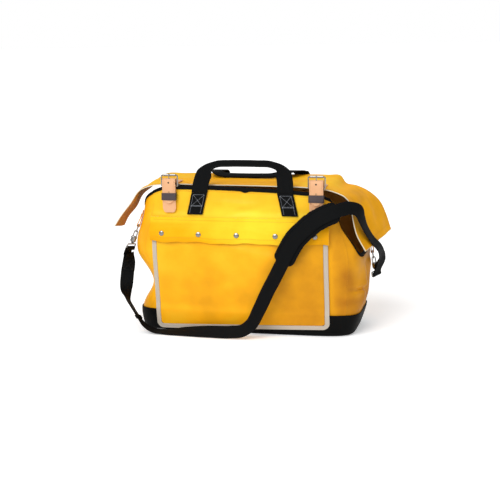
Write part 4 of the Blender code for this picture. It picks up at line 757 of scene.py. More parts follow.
# slack in the pocket's cloth: a few broad bells and slow waves, none near the binding or the snaps
def pocketFold(x, z):
    left, right = pocket["left"] + 0.02, pocket["right"] - 0.02
    calm = past(x, left, 0.06) * before(x, right, 0.06) * past(z, 0.04, 0.05) * before(z, 0.275, 0.03)
    p = np.stack([x, 0 * x, z], axis=-1)
    folds = 0.0022 * bump(z + 0.25 * x, 0.245, 0.012) - 0.0018 * bump(z - 0.18 * x, 0.16, 0.020)
    folds += 0.0016 * bump(x - 0.4 * z, 0.10, 0.02)
    return calm * (folds + ripple(p, 12, 0.11, 0.0012) + ripple(p, 14, 0.045, 0.0004))


# a height on the pocket, raised towards the right by the slant of its lower edge
def slanted(x, z):
    share = (x - pocket["left"]) / (pocket["right"] - pocket["left"])
    return z + pocket["slant"] * share * (pocket["top"] - z) / (pocket["top"] - pocket["bottom"])


low = pocket["bottom"] + pocket["binding"] + fit
z = low + (pocket["top"] - low) * np.linspace(0, 1, pocket["rows"])
cornerIn = pocket["corner"] - pocket["binding"]
inset = cornerIn - np.sqrt(np.clip(cornerIn ** 2 - np.clip(cornerIn - (z - low), 0, None) ** 2, 0, None))
left = pocket["left"] + pocket["binding"] + fit + inset
right = pocket["right"] - pocket["binding"] - fit - inset
x = left[:, None] + (right - left)[:, None] * np.linspace(0, 1, pocket["columns"])
z = np.broadcast_to(z[:, None], x.shape)
level = slanted(x, z)
grid = np.stack([x, frontLay(x, level, pouch(x, z) + pocketFold(x, z)), level], axis=-1)
pocketFace = sheetMesh("pocketFace", grid, pocket["wall"], [yellow, lining, yellow])
# painted shade: deeper towards the bottom, towards the right where the strap and pad hang over it, and in a
# broad patch low on the left
setPaintedShade(pocketFace, lambda x, y, z: 0.42 + 0.10 * before(z, 0.25, 0.14) + 0.26 * past(x, 0.01, 0.16)
        + 0.06 * bump(x, -0.12, 0.08) * bump(z, 0.17, 0.06))
dress(pocketFace, "bag", "pocket_panel")

# the binding's middle line: down the left, round the corner, along, and up the right
middle, radius = pocket["binding"] / 2, pocket["corner"] - pocket["binding"] / 2
left, right, low = pocket["left"] + middle, pocket["right"] - middle, pocket["bottom"] + middle
down = np.linspace(pocket["top"], low + radius, 50)
turn = np.radians(np.linspace(0, 90, 14))[1:-1]
run = np.linspace(left + radius, right - radius, 90)
lineX = np.concatenate([0 * down + left, left + radius * (1 - np.cos(turn)), run,
                        right - radius * (1 - np.sin(turn)), 0 * down + right])[:, None]
lineZ = np.concatenate([down, low + radius * (1 - np.sin(turn)), 0 * run + low,
                        low + radius * (1 - np.cos(turn)), down[::-1]])[:, None]
ahead = unit(np.gradient(np.hstack([lineX, lineZ]), axis=0))


def bindingPoints(across, stand):
    px = lineX - ahead[:, 1:] * across
    pz = slanted(px, lineZ + ahead[:, :1] * across)
    return np.stack([px, frontLay(px, pz, stand), pz], axis=-1)


across, deep = webProfile(pocket["binding"], pocket["bindingThick"], dent=0.2)[0].T
rings = bindingPoints(across, lay + pocket["bindingThick"] / 2 + deep)
dress(tubeMesh("pocketBinding", rings, paleTape), "bag", "pocket_binding")
for number, shift in enumerate((-pocket["stitchApart"], pocket["stitchApart"])):
    path = bindingPoints(shift, lay + pocket["bindingThick"] * 1.02)[:, 0]
    facing = np.broadcast_to((0.0, -1.0, 0.0), path.shape)
    stitchRow(f"bindingStitch{number}", path, facing, "pale", "binding")

flap = {"bottom": 0.266, "hinge": 0.334, "over": 0.004, "wall": 0.002, "stand": 0.005, "rows": 30,
        "columns": 200, "snaps": [-0.230 + 0.109 * k for k in range(5)], "snapHeight": 0.289,
        "aroundSnap": 0.020, "hem": 5.2}


# stand-off of the flap's outer face, easing from the pocket's swell up to the hinge line
def flapStand(x, z):
    low = np.maximum(pouch(x, np.minimum(z, pocket["top"])), lay + pocket["bindingThick"]) + flap["stand"]
    share = before(z, flap["hinge"], flap["hinge"] - pocket["top"])
    return lay + (low - lay) * share + flap["wall"]


# level folds of the flap and a wavy lower edge, flat round each snap
def flapFold(x, z):
    snaps = sum(bump(x, s, flap["aroundSnap"]) for s in flap["snaps"])
    calm = 1 - snaps * bump(z, flap["snapHeight"], 0.022)
    edgeWave = 0.0022 * np.sin(x / 0.017 + 1.0) * np.sin(x / 0.041) * before(z, flap["snapHeight"], 0.022)
    upper = 0.0016 * bump(z + 0.02 * np.sin(x / 0.06), 0.312, 0.006) - 0.0012 * bump(z, 0.323, 0.006)
    return (edgeWave + upper) * np.clip(calm, 0, 1) * before(z, flap["hinge"], 0.006)


x = np.linspace(pocket["left"] - flap["over"], pocket["right"] + flap["over"], flap["columns"])[None, :]
v = np.linspace(0, 1, flap["rows"])[:, None]
sag = 0.0016 * np.sin(x / 0.026 + 0.6) + 0.0012 * np.sin(x / 0.011)
z = flap["bottom"] + 0.0005 + sag * (1 - v) ** 2 + (flap["hinge"] - 0.0005 - flap["bottom"]) * v
x, z = np.broadcast_arrays(x, z)
grid = np.stack([x, frontLay(x, z, flapStand(x, z) + flapFold(x, z)), z], axis=-1)
pocketFlap = sheetMesh("pocketFlap", grid, flap["wall"], [coverYellow, lining, rawEdge])
# painted shade and highlight: deeper along the lower edge, to the right and to the left below the hinge, and
# lighter in the middle as a painted highlight
setPaintedShade(pocketFlap, lambda x, y, z: 0.33 + 0.12 * before(z, 0.288, 0.02) + 0.16 * past(x, 0.12, 0.08)
        + 0.18 * past(-x, 0.08, 0.10) * before(z, 0.325, 0.012) - 0.26 * bump(x, 0.04, 0.10))
inner = np.arange(4, flap["columns"] - 4)
flapHem = seamRow("flapHem", grid, flap["hem"], inner, "pocket_flap")
flapTopStitch = seamRow("flapTopStitch", grid, flap["rows"] - 4.5, inner, "pocket_flap")
dress(pocketFlap, "pocket_flap", "pocket_flap")
print("pocket, binding and flap")

# cover with its wings: along each edge, shares of the reach and of the drop below the mouth

cover = {"reach": 0.382, "drop": 0.155, "frontRise": 0.0115, "rearRise": 0.0145, "wall": 0.0024,
         "low": -0.1096, "high": 0.1157, "lip": 0.0014, "rows": 46, "columns": 240, "hem": 0.009,
         "taper": 0.62, "taperStart": 0.74,
         "front": ((-1.0, 0.78), (-0.95, 0.60), (-0.87, 0.36), (-0.785, 0.10), (-0.715, 0.03),
                   (-0.58, -0.01), (-0.26, -0.01), (0.0, -0.01), (0.26, 0.0), (0.52, 0.025),
                   (0.665, 0.085), (0.745, 0.18), (0.785, 0.31), (0.795, 0.50), (0.825, 0.83),
                   (0.89, 1.13)),
         "rear": ((-1.0, 0.88), (-0.965, 0.70), (-0.91, 0.46), (-0.855, 0.23), (-0.79, 0.04),
                  (-0.60, 0.0), (-0.26, 0.0), (0.0, 0.0), (0.26, 0.0), (0.52, 0.0), (0.615, 0.01),
                  (0.660, 0.15), (0.735, 0.19), (0.85, 0.33), (0.92, 0.50), (0.955, 0.68), (1.0, 1.01))}
coverDepth = cover["high"] - cover["low"]


def coverEdge(side, count):
    along, drop = np.array(cover[side]).T
    height = body["mouth"] + cover[side + "Rise"] - cover["drop"] * drop
    return smoothLine(np.stack([cover["reach"] * along, 0 * along, height], axis=1), count)[0]


# straight threads from the front edge to the rear one; the edges are drawn as curves in the bag's long
# plane
def coverSurface(rowShares, columns):
    share = np.asarray(rowShares)[:, None, None]
    grid = coverEdge("front", columns)[None] * (1 - share) + coverEdge("rear", columns)[None] * share
    start = cover["taperStart"]
    taper = 1 - cover["taper"] * past(-grid[..., 0] / cover["reach"], start, 1 - start)
    grid[..., 1] = cover["low"] + coverDepth * share[..., 0] * taper
    return grid


def coverHeight(x, y):
    grid = coverSurface([(y - cover["low"]) / coverDepth], 56)
    return float(np.interp(x, grid[0, :, 0], grid[0, :, 2]))


# slack in the cover, along its normal: the middle dips a little between its edges, the wings ripple
def coverFold(p):
    x, y = p[..., 0], p[..., 1]
    inside = past(y, cover["low"], 0.03) * before(y, cover["high"], 0.04)
    wing = past(np.abs(x), 0.27, 0.05)
    flat = -0.0022 * (1 - bump(x, 0, 0.5)) + ripple(p, 21, 0.12, 0.0010) + 0.0016 * bump(y, -0.02, 0.03)
    loose = ripple(p, 22, 0.07, 0.0022) + 0.003 * bump(y, 0.01, 0.035)
    return inside * ((1 - wing) * flat * 0.9 + wing * loose)


lip = cover["lip"] / coverDepth
rowShares = np.concatenate([[0, lip], np.linspace(0.02, 0.98, cover["rows"]), [1 - lip, 1]])
grid = coverSurface(rowShares, cover["columns"])
grid = grid + gridNormals(grid) * coverFold(grid)[..., None]
ends = [(grid[:, near] * 0.35 + grid[:, edge] * 0.65)[:, None] for near, edge in ((1, 0), (-2, -1))]
grid = np.concatenate([grid[:, :1], ends[0], grid[:, 1:-1], ends[1], grid[:, -1:]], axis=1)
coverSheet = sheetMesh("coverSheet", grid, cover["wall"], [coverYellow, lining, rawEdge], edge=1)
# painted shade and highlight: deeper on the right wing, lighter to the left and on the top near the right
# buckle
setPaintedShade(coverSheet, lambda x, y, z: 0.50 + 0.10 * past(x, 0.27, 0.04) - 0.12 * past(-x, 0.14, 0.08)
        - 0.14 * bump(x, 0.20, 0.06) * past(z, 0.40, 0.01))
allRows, allColumns = grid.shape[:2]
hem = cover["hem"] / coverDepth
coverHems = [seamRow(f"coverHem{number}", grid, np.interp(share, rowShares, np.arange(allRows)),
                     np.arange(4, allColumns - 4), "cover") for number, share in enumerate((hem, 1 - hem))]
coverHems += [seamRow(f"coverEndHem{number}", grid, np.arange(3, allRows - 3), column, "cover")
              for number, column in enumerate((6, allColumns - 7))]
dress(coverSheet, "cover", "cover")

# handles and their tabs; the arch is drawn by shares of its half width and of its rise

handle = {"spacing": 0.121, "tabSpacing": 0.135, "tabLength": 0.062, "tabDrop": 0.006, "rise": 0.080,
          "web": 0.045, "thick": 0.0025, "grip": 0.019, "gripThick": 0.008, "gripFrom": (0.6, 0.36),
          "lean": 0.006, "rearShift": 0.018, "points": 140, "above": 0.0003, "stitchIn": 0.0035,
          "archX": (1.0, 0.96, 0.885, 0.78, 0.60, 0.30, 0.0),
          "archRight": (1.0, 1.0, 0.965, 0.88, 0.70, 0.34, 0.0),
          "archRise": (0.0, 0.33, 0.62, 0.84, 0.96, 0.995, 1.0), "reach": 0.108,
          "profileY": (0.0, -0.10, -0.36, -0.80, -1.0), "profileZ": (0.0, 0.085, 0.15, 0.165, 0.085),
          "tabRows": 40, "boxFrom": 0.023, "box": 0.032}
overTape = lay + tape["thick"] + fit
frontTop = body["mouth"] - handle["tabDrop"]
rearTop = body["mouth"] + body["backRise"] + 0.0008
frontY = float(faceLay(handle["spacing"], frontTop, overTape + handle["thick"], False))
rearY = float(faceLay(handle["spacing"], body["mouth"], overTape + handle["thick"], True))


def frontPlace(x, rise):
    lean = handle["lean"] * rise / handle["rise"]
    return np.stack([x, frontY + handle["thick"] / 2 + lean, frontTop + handle["above"] + rise], axis=-1)


def rearPlace(x, rise):
    share = rise / handle["rise"]
    knots = np.linspace(0, 1, 5)
    y = rearY - handle["thick"] / 2 + handle["reach"] * smoothValue(share, knots, handle["profileY"])
    z = rearTop + handle["above"] + handle["reach"] * smoothValue(share, knots, handle["profileZ"])
    x = x - handle["rearShift"] * np.clip(share, 0, 1) ** 1.5
    return np.stack([x, y, z + np.minimum(rise, 0)], axis=-1)


# the webbing is flat on the handle's legs and folded double at the grip
def makeHandle(name, place, node, rightShares):
    rightX, rise = handle["spacing"] * np.array(rightShares), handle["rise"] * np.array(handle["archRise"])
    leftX = handle["spacing"] * np.array(handle["archX"])
    loop = np.stack([np.concatenate([rightX, -leftX[-2::-1]]), np.concatenate([rise, rise[-2::-1]])], axis=1)
    x, rise = smoothLine(loop, handle["points"])[0].T
    rise = np.clip(rise, 0, None)
    share = past(rise / handle["rise"], *handle["gripFrom"])
    width = handle["web"] + (handle["grip"] - handle["web"]) * share
    thick = handle["thick"] + (handle["gripThick"] - handle["thick"]) * share
    line = place(x, rise)
    small = handle["rise"] / 100
    normal = unit(np.cross(place(x + small, rise) - place(x - small, rise),
                           place(x, rise + small) - place(x, rise - small)))
    along = np.gradient(line, axis=0)
    along[0], along[-1] = (0, 0, 1), (0, 0, -1)
    along = unit(along)
    side = unit(np.cross(normal, along))
    normal = unit(np.cross(along, side))
    dress(tubeMesh(name, carry(line, side, normal, webProfile(width, thick)), blackWeb), node, node)
    grip = share > 0.6
    edge = line[grip] + side[grip] * (width[grip, None] / 2 - handle["stitchIn"])
    edge = edge + normal[grip] * thick[grip, None] / 2
    stitchRow(name + "Stitch", edge, normal[grip], "black", "grip", node)


makeHandle("frontHandle", frontPlace, "front_handle", handle["archRight"])
makeHandle("rearHandle", rearPlace, "rear_handle", handle["archX"])


# a tab from its foot up over the mouth's tape, and its box of stitches with a cross and two legs
def makeTab(name, sense, top, back):
    bottom = frontTop - handle["tabLength"]
    clear = body["mouth"] - tape["outside"] - body["mouthBow"] / 3 - bottom

    def middle(z):
        share = (top - z) / (top - bottom)
        return sense * (handle["spacing"] + (handle["tabSpacing"] - handle["spacing"]) * share)

    z = np.linspace(bottom, top - handle["above"], handle["tabRows"])
    over, under = overTape + handle["thick"] / 2, lay + handle["thick"] / 2
    stand = under + (over - under) * past(z - bottom, clear * 0.55, clear * 0.4)
    across, deep = webProfile(handle["web"], handle["thick"])[0].T
    px = middle(z)[:, None] + across
    pz = np.broadcast_to(z[:, None], px.shape)
    py = faceLay(px, np.minimum(pz, body["mouth"]), stand[:, None] + deep, back)
    t = np.linspace(0, 1, 40)
    o = 0 * t
    lines = [(t, o), (t, o + 1), (o, t), (o + 1, t), (t, t), (t, 1 - t), (t, o + 0.06),
             (o + 0.02, -0.62 * t), (o + 0.98, -0.62 * t)]
    tab = tubeMesh(name, np.stack([px, py, pz], axis=-1), blackWeb)
    for number, (u, v) in enumerate(lines):
        zz = bottom + handle["boxFrom"] + v * handle["box"]
        xx = middle(zz) + (u - 0.5) * handle["box"]
        yy = faceLay(xx, zz, np.interp(zz, z, stand) + handle["thick"] / 2, back)
        line = np.stack([xx, yy, zz], axis=-1)
        facing = np.broadcast_to((0.0, 1.0 if back else -1.0, 0.0), line.shape)
        stitchRow(f"{name}Stitch{number}", line, facing, "grey", "tab")
    return tab


for name, top, back in (("front", frontTop, False), ("rear", rearTop, True)):
    for side, sense in (("left", -1), ("right", 1)):
        dress(makeTab(f"{name}Tab{side.title()}", sense, top, back), "bag", f"{name}_handle_tab_{side}")
print("handles and tabs")

# leather closures

closure = {"x": 0.208, "width": 0.038, "thick": 0.003, "sink": 0.0008, "chapeLow": 0.3465, "keeper": 0.391,
           "keeperHeight": 0.020, "keeperWall": 0.0018, "wire": 0.002, "bar": 0.418, "buckle": 0.032,
           "roller": 0.0036, "tongue": 0.0014, "slot": 0.006, "tip": 0.372, "rear": -0.055, "point": 0.012,
           "edge": 0.0008, "edgeShare": 0.55, "holes": (0.430, 0.4035), "stitchOut": 0.0155,
           "holeRings": ((0.0024, -0.0004), (0.0024, 0.0001), (0.0018, 0.00014), (0.0017, 0.0))}
chapeStand = overTape + closure["keeperWall"] + fit + closure["thick"] / 2
wrapRadius = closure["wire"] + fit + closure["thick"] / 2
barStand = chapeStand - wrapRadius
billetStand = chapeStand + closure["thick"] + fit


def closureLay(x, z, stand):
    return float(frontLay(x, z, stand - closure["sink"]))


# the buckle's chape: sewn to the front, up under the keeper and round the buckle's bar, with the tongue's
# slot
def makeChape(side, x):
    low, span = lay + closure["thick"] / 2, closure["keeperHeight"] * 0.7
    heights = closure["chapeLow"] + (closure["keeper"] - span - closure["chapeLow"]) * np.arange(4) / 3
    path = [(x, closureLay(x, h, low + (chapeStand - low) * k / 3), h) for k, h in enumerate(heights)]
    path += [(x, closureLay(x, h, chapeStand), h) for h in (closure["keeper"], closure["keeper"] + span)]
    middle = closureLay(x, body["mouth"], 0.0) - barStand
    path += [(x, middle - wrapRadius * math.cos(angle), closure["bar"] + wrapRadius * math.sin(angle))
             for angle in np.radians(range(0, 181, 15))]
    path.append((x, middle + wrapRadius, closure["bar"] - closure["wire"]))
    line, at, _ = smoothLine(path, 90)
    half = closure["width"] / 2
    across = np.concatenate([np.linspace(closure["slot"] / 2, half - 0.003, 8),
                             [half - closure["edge"], half]])
    across = np.concatenate([-across[::-1], across])
    share = np.where(np.abs(across) > half - 0.001, closure["edgeShare"], 1)
    taper = np.clip(0.62 + 0.38 * np.sqrt(np.clip(at / 0.012, 0, 1)), 0, 1)
    # up the front the travel is upwards, so the outward normal is travel x right, turned to the front
    normal = -np.cross(unit(np.gradient(line, axis=0)), (1.0, 0.0, 0.0))
    grid = line[:, None] + np.array([1.0, 0, 0]) * across[None, :, None] * taper[:, None, None]
    grid = grid + normal[:, None] * (closure["thick"] / 2) * share[None, :, None]
    cut = np.zeros((len(line) - 1, len(across) - 1), bool)
    slotFrom = closure["bar"] - closure["tongue"] * 2 - closure["wire"] - fit * 6
    cut[(line[:-1, 2] + line[1:, 2]) / 2 > slotFrom, 9] = True
    thick = closure["thick"] * share[None, :] * np.ones((len(line), 1))
    chape = sheetMesh(f"chape{side.title()}", grid, thick, [leather], hole=cut, sharpAngle=60)
    dress(outward(chape), "bag", f"chape_{side}")


# a closed band of dark leather round the chape and the billet
def makeKeeper(side, x):
    height, reach, thick = closure["keeper"], closure["keeperHeight"] / 2, closure["keeperWall"]
    front = closureLay(x, height, 0.0)
    near = chapeStand - closure["thick"] / 2 - fit - thick / 2
    far = billetStand + closure["thick"] / 2 + fit + thick / 2
    half, corner = closure["width"] / 2 + fit + thick / 2, thick
    path = []
    for cx, cy, start in boxCorners:
        middle = far - corner if cy > 0 else near + corner
        path += [(x + cx * (half - corner) + corner * math.cos(a),
                  front - (middle + corner * math.sin(a)), height)
                 for a in np.radians(start + np.linspace(0, 90, 6))]
    path = np.array(path)
    slope = closureLay(x, height + reach, 0.0) - closureLay(x, height - reach, 0.0)
    normal = np.cross(unit(np.roll(path, -1, 0) - np.roll(path, 1, 0)), (0.0, 0.0, 1.0))
    up = np.broadcast_to((0.0, slope / closure["keeperHeight"], 1.0), path.shape)
    rings = carry(path, up, normal, webProfile(closure["keeperHeight"], thick)[0])
    dress(tubeMesh(f"keeper{side.title()}", rings, keeperLeather, closed=True), "bag", f"keeper_{side}")


# the billet: from the cover, under the roller, out through the frame and down over the chape to its point
def makeBillet(side, x):
    name = f"billet{side.title()}"
    y, z = closureLay(x, body["mouth"], 0.0) - barStand, closure["bar"]
    thick = closure["thick"]
    half = thick / 2
    crossing = z + closure["buckle"] - closure["roller"] - half - thick * 1.7
    outer = wrapRadius + half + half + fit * 3
    lie, rear = half + fit, closure["rear"]
    path = [(x, rear, coverHeight(x, rear) + lie)]
    for share in (0.33, 0.66, 0.88):
        at = rear + (y - rear) * share
        path.append((x, at, coverHeight(x, at) + lie + thick * 1.4 * share ** 4))
    path += [(x, y + closure["wire"], crossing - half / 3), (x, y - outer * 0.45, crossing),
             (x, y - outer * 0.85, crossing - thick),
             (x, y - outer - half * 0.6, crossing - thick * 3.2), (x, y - outer - half * 0.5, z)]
    keeper, upper = closure["keeper"], closure["keeper"] + closure["keeperHeight"]
    path.append((x, closureLay(x, upper, billetStand + half), upper))
    path += [(x, closureLay(x, h, billetStand), h) for h in (keeper + 0.010, keeper - 0.010, closure["tip"])]
    line, at, knots = smoothLine(path, 150)
    width = closure["width"] * np.clip(0.2 + 0.8 * ((knots[-1] - at) / closure["point"]) ** 0.8, 0.0, 1.0)
    slope = (coverHeight(x + 0.019, rear) - coverHeight(x - 0.019, rear)) / 0.038
    share = np.clip((line[:, 1] - y) / (rear - y), 0, 1)
    sides = np.stack([1 + 0 * share, 0 * share, slope * share], axis=1)
    rings, sides, normal = sweep(line, sides, webProfile(width, thick))
    dress(tubeMesh(name, rings, leather), "cover", f"billet_{side}")
    # adjustment holes as shallow discs painted dark as the shade inside each hole, and a row of stitches
    # along each edge
    for number, height in enumerate(closure["holes"]):
        k = int(np.argmin(np.abs(line[80:, 2] - height))) + 80
        outwards = normal[k] if normal[k][1] < 0 else -normal[k]
        turn = np.linspace(0, 2 * math.pi, 20, endpoint=False)[:, None]
        circle = sides[k] * np.cos(turn) + np.cross(outwards, sides[k]) * np.sin(turn)
        rim = [line[k] + outwards * (half + h) + r * circle for r, h in closure["holeRings"]]
        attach(tubeMesh(f"{name}Hole{number}", rim, holeShade), "cover")
    edge = slice(2, len(line) - 14)
    faces = normal[edge]
    faces = faces * np.where((faces[:, 1] < -0.2)[:, None] | (faces[:, 2] > 0.2)[:, None], 1, -1)
    for number, sense in enumerate((-1, 1)):
        row = line[edge] + sides[edge] * sense * closure["stitchOut"] + faces * half
        stitchRow(f"{name}Stitch{number}", row, faces, "tan", "billet", "cover")


for side, x in (("left", -closure["x"]), ("right", closure["x"])):
    makeChape(side, x)
    makeKeeper(side, x)
    makeBillet(side, x)
print("leather")

# ring tabs, shoulder strap and its pad

chain = {"ringWire": 0.0018, "ringDepth": 0.021, "ringY": 0.085,
         "heights": {"left": 0.300, "right": 0.208},
         "tilts": {"left": math.radians(22), "right": math.radians(10)}, "hookWire": 0.0018,
         "bow": 0.0046, "spine": 0.013, "block": 0.021, "eyeWire": 0.0018, "eyeHeight": 0.011,
         "turns": {"left": math.radians(28), "right": math.radians(34)}, "tabLength": 0.042,
         "tabWidth": 0.024, "web": 0.0025}
strap = {"width": 0.038, "thick": 0.0025, "fold": 0.006, "lean": 0.007, "padFirst": 19, "padLast": 25,
         "points": 420}
skyward = np.array((0.0, 0.0, 1.0))


# a point standing off an end, with the level direction straight out of the cloth there
def endSpot(sense, y, z, stand=0.0):
    depth, half = float(halfDepth(z, y > 0)), float(halfLength(z, sense > 0))
    share, power = y / depth, body["square"]
    x = half * float(bulge(share))
    lean = (share ** (power - 1) / depth) / ((x / half) ** (power - 1) / half)
    level = unit((sense, lean, 0.0))
    return np.array((sense * x, y, z)) + stand * level, level


# origin on the ring's bar, with the chain's down, outward and along directions, its sense and the level
# one
def chainFrame(side):
    sense = -1 if side == "left" else 1
    tilt = chain["tilts"][side]
    origin, level = endSpot(sense, sense * chain["ringY"], chain["heights"][side],
                            lay + chain["web"] + fit + chain["ringWire"])
    down = level * math.sin(tilt) - skyward * math.cos(tilt)
    out = level * math.cos(tilt) + skyward * math.sin(tilt)
    return origin, down, out, unit(np.cross(skyward, level)) * sense, sense, level


# the strap's end, folded round the swivel eye's bar, with the bar's direction as its width
def strapFold(side):
    origin, down, out, along, sense, _ = chainFrame(side)
    bar = origin + down * (chain["ringDepth"] + chain["bow"] - chain["hookWire"] - chain["ringWire"]
                           - 0.0003 + chain["spine"] + chain["block"] + chain["eyeWire"] + fit * 2
                           + chain["eyeHeight"])
    radius = chain["eyeWire"] + fit + strap["thick"] / 2
    turn = chain["turns"][side]
    across = unit(math.cos(turn) * along + sense * math.sin(turn) * out)
    away = unit(np.cross(across, down))
    away = away if away @ out > 0 else -away
    leave = down if side == "left" else -down
    lean = 0.0 if side == "left" else strap["lean"]
    path = [bar - away * radius + leave * strap["fold"] * share for share in (1.0, 0.5)]
    path += [bar - away * radius * math.cos(angle) - leave * radius * math.sin(angle)
             for angle in np.radians(range(0, 181, 30))]
    path += [bar + away * (radius + lean * share) + leave * strap["fold"] * steps
             for steps, share in ((1, 0), (2, 1 / 3), (3, 1))]
    return path, across


# the strap's route from the left snap over the floor and up across the front to the right one: each place
# in millimetres, then the direction of its width
route = ((-350, -90, 195, 0.72, 0.69, 0), (-353, -95, 163, 0.90, 0.43, 0),
         (-354.5, -102, 135, 0.90, 0.43, 0), (-354, -110, 111, 0.50, 0.86, 0),
         (-347, -120, 92, -0.10, 0.99, -0.06), (-329, -133, 70, -0.20, 0.97, -0.12),
         (-308, -143, 45, -0.18, 0.97, -0.12), (-288, -148, 22, -0.10, 0.99, -0.05),
         (-262, -148, 8.5, 0, 1, 0.05), (-230, -148, 5.2, 0, 0.99, 0.12),
         (-170, -155, 10.7, 0, 0.90, 0.43), (-100, -163, 15.5, 0, 0.72, 0.69),
         (-30, -166, 18.2, -0.05, 0.60, 0.80), (0, -167, 22.5, -0.30, 0.55, 0.78),
         (26, -168, 40, -0.65, 0.40, 0.64), (52, -170, 85, -0.86, 0.15, 0.48),
         (80, -171, 143, -0.88, 0.05, 0.47), (100, -173, 180, -0.88, 0, 0.47),
         (118, -175, 215, -0.90, 0, 0.42), (134, -176, 248, -0.88, 0, 0.46),
         (156, -176, 285, -0.82, 0, 0.56), (185, -173, 315, -0.66, 0.02, 0.75),
         (212, -169, 337, -0.52, 0.10, 0.85), (242, -162, 353, -0.30, 0.22, 0.90),
         (272, -149, 364, -0.15, 0.40, 0.90), (298, -130, 368, 0.10, 0.65, 0.75),
         (320, -112, 358, 0.42, 0.75, 0.50), (328, -99, 332, 0.25, 0.90, 0.35),
         (336, -80, 303, 0.05, 0.90, 0.42), (349, -56, 271, -0.02, 0.90, 0.42),
         (364, -30, 244, 0, 0.90, 0.40), (366, 2, 223, 0.10, 0.88, 0.40),
         (363, 36, 206, 0.20, 0.86, 0.36), (360, 62, 191, 0.36, 0.86, 0.20),
         (357, 77, 176, 0.45, 0.86, 0.10))
route = np.array(route)
leftFold, leftAcross = strapFold("left")
rightFold, rightAcross = strapFold("right")
places = np.vstack([leftFold[-1], route[:, :3] / 1000, rightFold[-1]])
middle, at, knots = smoothLine(places, strap["points"])
turned = smoothRows(at, knots, unit(np.vstack([leftAcross, route[:, 3:], rightAcross])))
line = np.concatenate([leftFold[:-1], middle, rightFold[:-1][::-1]])
across = np.concatenate([[leftAcross] * (len(leftFold) - 1), turned, [rightAcross] * (len(rightFold) - 1)])
strapProfile = webProfile(strap["width"], strap["thick"], dent=0.1)[0]
rings, strapSide, strapNormal = sweep(line, across, strapProfile)
stations = lengths(line)
shoulderStrap = tubeMesh("shoulderStrap", rings, blackWeb)
dress(shoulderStrap, "bag", "shoulder_strap")


# the strap's own point at one of the route's knots
def stationAt(knot):
    return len(leftFold) - 1 + int(np.searchsorted(at, knots[knot]))


# each end of the strap is folded round its bar and sewn back on itself, and a slide loop sits near the
# left foot
tail = {"length": 0.052, "points": 60, "gap": 0.0003, "box": 0.013, "closeBy": 0.35, "sewnFrom": 0.4,
        "slideAt": 7, "slideWidth": 0.043, "slideDeep": 0.0062, "slideHigh": 0.011, "slideThick": 0.0018}
strapPieces = []


def addStrapPiece(name, rings, material, closed=False):
    strapPieces.append(tubeMesh(name, rings, material, closed))
    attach(strapPieces[-1], "bag")


for side, heading, start, fold in (("Left", 1, len(leftFold) - 1, leftFold),
                                   ("Right", -1, len(line) - len(rightFold), rightFold)):
    run = np.arange(start, start + heading * tail["points"], heading)
    gone = np.abs(stations[run] - stations[start]) / tail["length"]
    run, gone = run[gone < 1], gone[gone < 1]
    apart = (fold[0] - fold[-1]) @ strapNormal[start]
    towards, fromBar = np.sign(apart), abs(apart) - strap["thick"]
    apart = strap["thick"] + tail["gap"] + fromBar * (1 - ease(gone / tail["closeBy"]))
    width, normal = strapSide[run], strapNormal[run]
    path = line[run] + normal * towards * apart[:, None]
    addStrapPiece(f"strapTail{side}", carry(path, width, normal, strapProfile), blackWeb)
    sewn = gone > tail["sewnFrom"]
    top = path[sewn] + normal[sewn] * towards * strap["thick"] / 2
    width = width[sewn] * tail["box"]
    ends, crossed = np.linspace(-1, 1, 12)[:, None], np.linspace(-1, 1, len(top))[:, None]
    rows = [top + width, top - width, top[0] + width[0] * ends, top[-1] + width[-1] * ends,
            top + width * crossed, top - width * crossed]
    for number, row in enumerate(rows):
        out = np.broadcast_to(normal[sewn].mean(axis=0) * towards, row.shape)
        strapPieces.append(stitchRow(f"strapTail{side}Stitch{number}", row, out, "black", "tail"))
k = stationAt(tail["slideAt"])
reach, deep = tail["slideWidth"] / 2 - tail["slideDeep"] / 2, tail["slideDeep"] / 2
turn = np.radians(np.arange(0, 360, 15) + 7.5)[:, None]
out = strapSide[k] * np.cos(turn) + strapNormal[k] * np.sin(turn)
loop = line[k] + strapSide[k] * np.sign(np.cos(turn)) * reach + out * deep
ahead = np.broadcast_to(unit(line[k + 1] - line[k - 1]), out.shape)
rings = carry(loop, ahead, out, webProfile(tail["slideHigh"], tail["slideThick"])[0])
addStrapPiece("strapSlide", rings, rubber, closed=True)

pad = {"width": 0.062, "thick": 0.008, "endShare": 0.64, "endThick": 0.55, "gap": 0.0013, "voxel": 0.0045,
       "pressure": 4.0, "limit": 0.0024, "stitchIn": 0.006, "frames": 20, "patch": (26, 3),
       "patchThick": 0.0022, "patchIn": 0.010}
first, last = stationAt(strap["padFirst"]), stationAt(strap["padLast"])
part, count = slice(first, last + 1), last + 1 - first
ends = np.minimum(np.arange(count), count - 1 - np.arange(count)) / count
width = pad["width"] * np.minimum(pad["endShare"] + (1 - pad["endShare"]) * (ends / 0.07) ** 0.7, 1.0)
thick = pad["thick"] * np.minimum(pad["endThick"] + (1 - pad["endThick"]) * (ends / 0.05), 1.0)
padSide, padNormal = strapSide[part], strapNormal[part]
centre = line[part] - padNormal * (strap["thick"] / 2 + pad["gap"] + pad["thick"] / 2)
shoulderPad = tubeMesh("shoulderPad", carry(centre, padSide, padNormal, webProfile(width, thick)), foamCloth)
